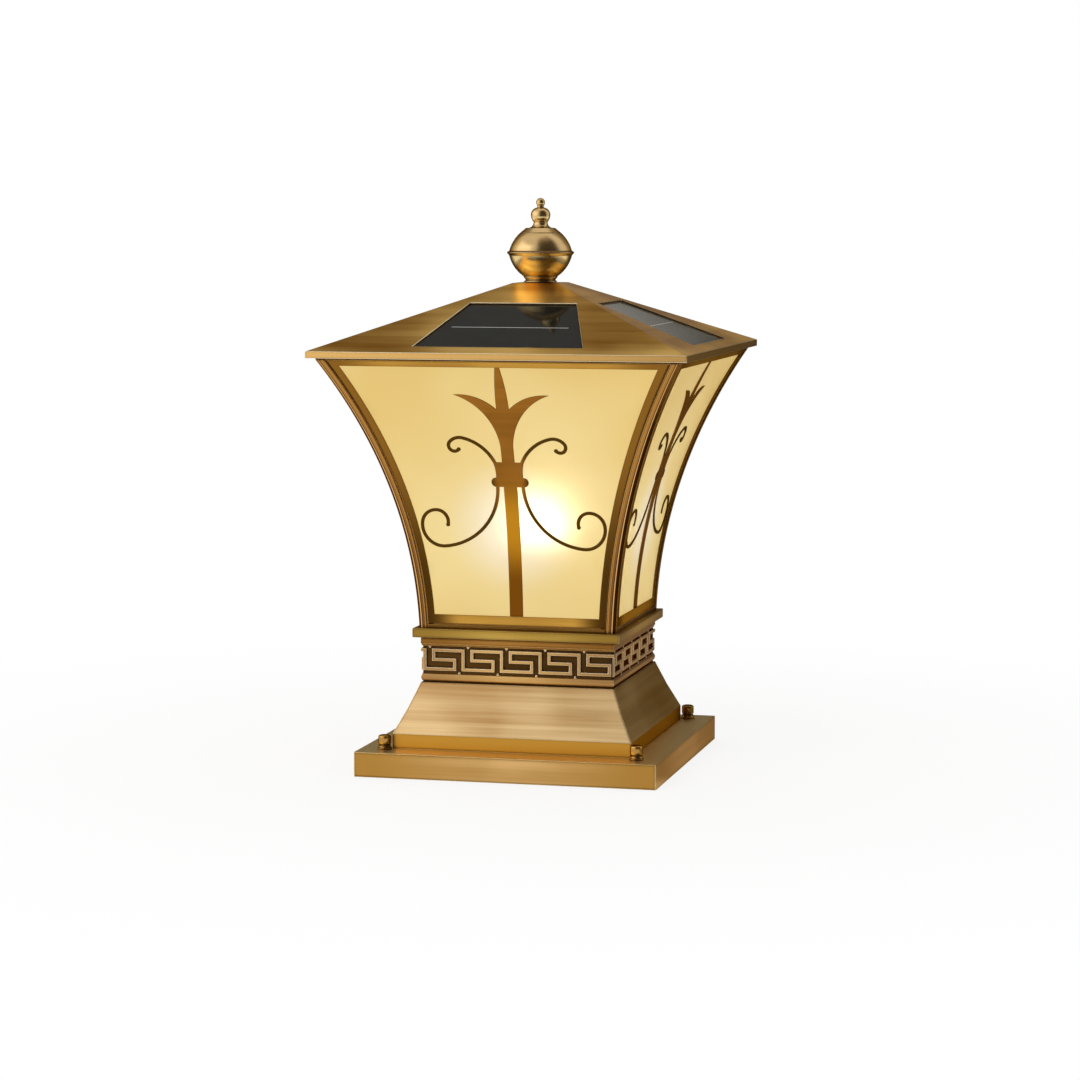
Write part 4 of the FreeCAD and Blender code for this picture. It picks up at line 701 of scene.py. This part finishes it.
def make_card(name, profile, bearings, tint="FFFFFF", soften=12.0):
    """A studio card, curved round the object, that only polished metal and glass reflect.

    The profile gives points from its foot to its top: distance, height, brightness and cover.
    Bearings are in degrees from +X towards +Y.
    """
    start, end = bearings
    corners, brightness, cover = [], [], []
    for step in range(CARD_STEPS + 1):
        bearing = start + (end - start) * step / CARD_STEPS
        inside = min(bearing - start, end - bearing, soften) / soften
        for distance, height, bright, share in profile:
            corners.append((distance * math.cos(math.radians(bearing)),
                            distance * math.sin(math.radians(bearing)), height))
            brightness.append(bright)
            cover.append(share * inside)
    rows = len(profile)
    faces = [(rows * step + row, rows * (step + 1) + row, rows * (step + 1) + row + 1,
              rows * step + row + 1) for step in range(CARD_STEPS) for row in range(rows - 1)]
    mesh = bpy.data.meshes.new(name)
    mesh.from_pydata(corners, [], faces)
    for label, values in (("brightness", brightness), ("cover", cover)):
        mesh.attributes.new(label, "FLOAT", "POINT").data.foreach_set("value", values)
    card = bpy.data.objects.new(name, mesh)
    bpy.context.scene.collection.objects.link(card)
    for kind in ("camera", "diffuse", "transmission", "volume_scatter", "shadow"):
        setattr(card, "visible_" + kind, False)

    graph = Graph(name)
    paint = graph.add("ShaderNodeEmission", ins={
        "Color": colour(tint),
        "Strength": graph.add("ShaderNodeAttribute", out="Fac", attribute_name="brightness")})
    clear = graph.add("ShaderNodeBsdfTransparent")
    share = graph.add("ShaderNodeAttribute", out="Fac", attribute_name="cover")
    mesh.materials.append(graph.finish(
        graph.add("ShaderNodeMixShader", ins={0: share, 1: clear, 2: paint})))


def aim(thing, target):
    """Turn a lamp or camera towards a point."""
    thing.rotation_euler = (Vector(target) - thing.location).to_track_quat("-Z", "Y").to_euler()


def make_lamp(name, place, target, size, energy):
    """A soft white lamp that metal and glass do not reflect."""
    data = bpy.data.lights.new(name, "AREA")
    data.shape = "RECTANGLE"
    data.size, data.size_y = size
    data.energy = energy
    lamp = bpy.data.objects.new(name, data)
    lamp.location = place
    bpy.context.scene.collection.objects.link(lamp)
    lamp.visible_glossy = False
    aim(lamp, target)


def make_camera():
    """The camera, as far from its target as the photograph's."""
    forward = Vector((-math.sin(CAMERA_YAW) * math.cos(CAMERA_PITCH),
                      math.cos(CAMERA_YAW) * math.cos(CAMERA_PITCH), -math.sin(CAMERA_PITCH)))
    data = bpy.data.cameras.new("camera")
    data.lens = CAMERA_LENS
    data.sensor_width = CAMERA_SENSOR
    camera = bpy.data.objects.new("camera", data)
    camera.location = CAMERA_TARGET - forward * CAMERA_DISTANCE
    bpy.context.scene.collection.objects.link(camera)
    aim(camera, CAMERA_TARGET)
    bpy.context.scene.camera = camera


make_floor()
make_world()
make_card("card_floor", (
    (0.12, CARD_RISE, 0.42, 1.0), (0.3, CARD_RISE, 0.4, 1.0), (WALL_OUT, CARD_RISE, 0.45, 1.0)),
    (-40, 168), tint="FFF0D8")
make_card("card_back", (
    (WALL_OUT, 0.0, 0.4, 1.0), (WALL_OUT, 0.05, 0.22, 1.0), (WALL_OUT, 0.1, 0.1, 1.0),
    (WALL_OUT, 0.25, 0.07, 1.0), (WALL_OUT, 0.49, 0.04, 1.0), (WALL_OUT, 0.55, 0.4, 1.0),
    (WALL_OUT, 0.66, 0.52, 1.0), (WALL_OUT, 0.9, 0.36, 1.0), (WALL_OUT, 1.2, 0.38, 1.0),
    (WALL_OUT, 1.7, 0.38, 1.0), (WALL_OUT, 2.1, 0.4, 0.0)), (40, 158),
    tint="FFF8F0", soften=9.0)
make_card("card_right", (
    (1.3, 0.0, 0.1, 1.0), (1.3, 1.4, 0.07, 1.0), (1.1, 1.9, 0.09, 1.0), (0.7, 2.3, 0.3, 0.8),
    (0.3, 2.5, 0.8, 0.0)), (-102, 12), tint="FFE8CC", soften=20.0)
make_card("softbox", (
    (1.6, 0.0, 1.0, 0.0), (1.6, 0.3, 1.8, 1.0), (1.6, 1.8, 1.8, 1.0), (1.6, 2.2, 1.0, 0.0)),
    (-188, -112), soften=10.0)
make_lamp("key", (-0.8, -1.9, 1.7), MIDDLE, (1.3, 1.1), 14.0)
make_lamp("fill", (1.6, -1.6, 0.9), MIDDLE, (0.9, 1.2), 4.0)
make_lamp("back", (-0.9, 1.7, 1.6), MIDDLE, (1.2, 0.8), 5.0)
make_camera()

bpy.context.scene.view_settings.view_transform = "Standard"
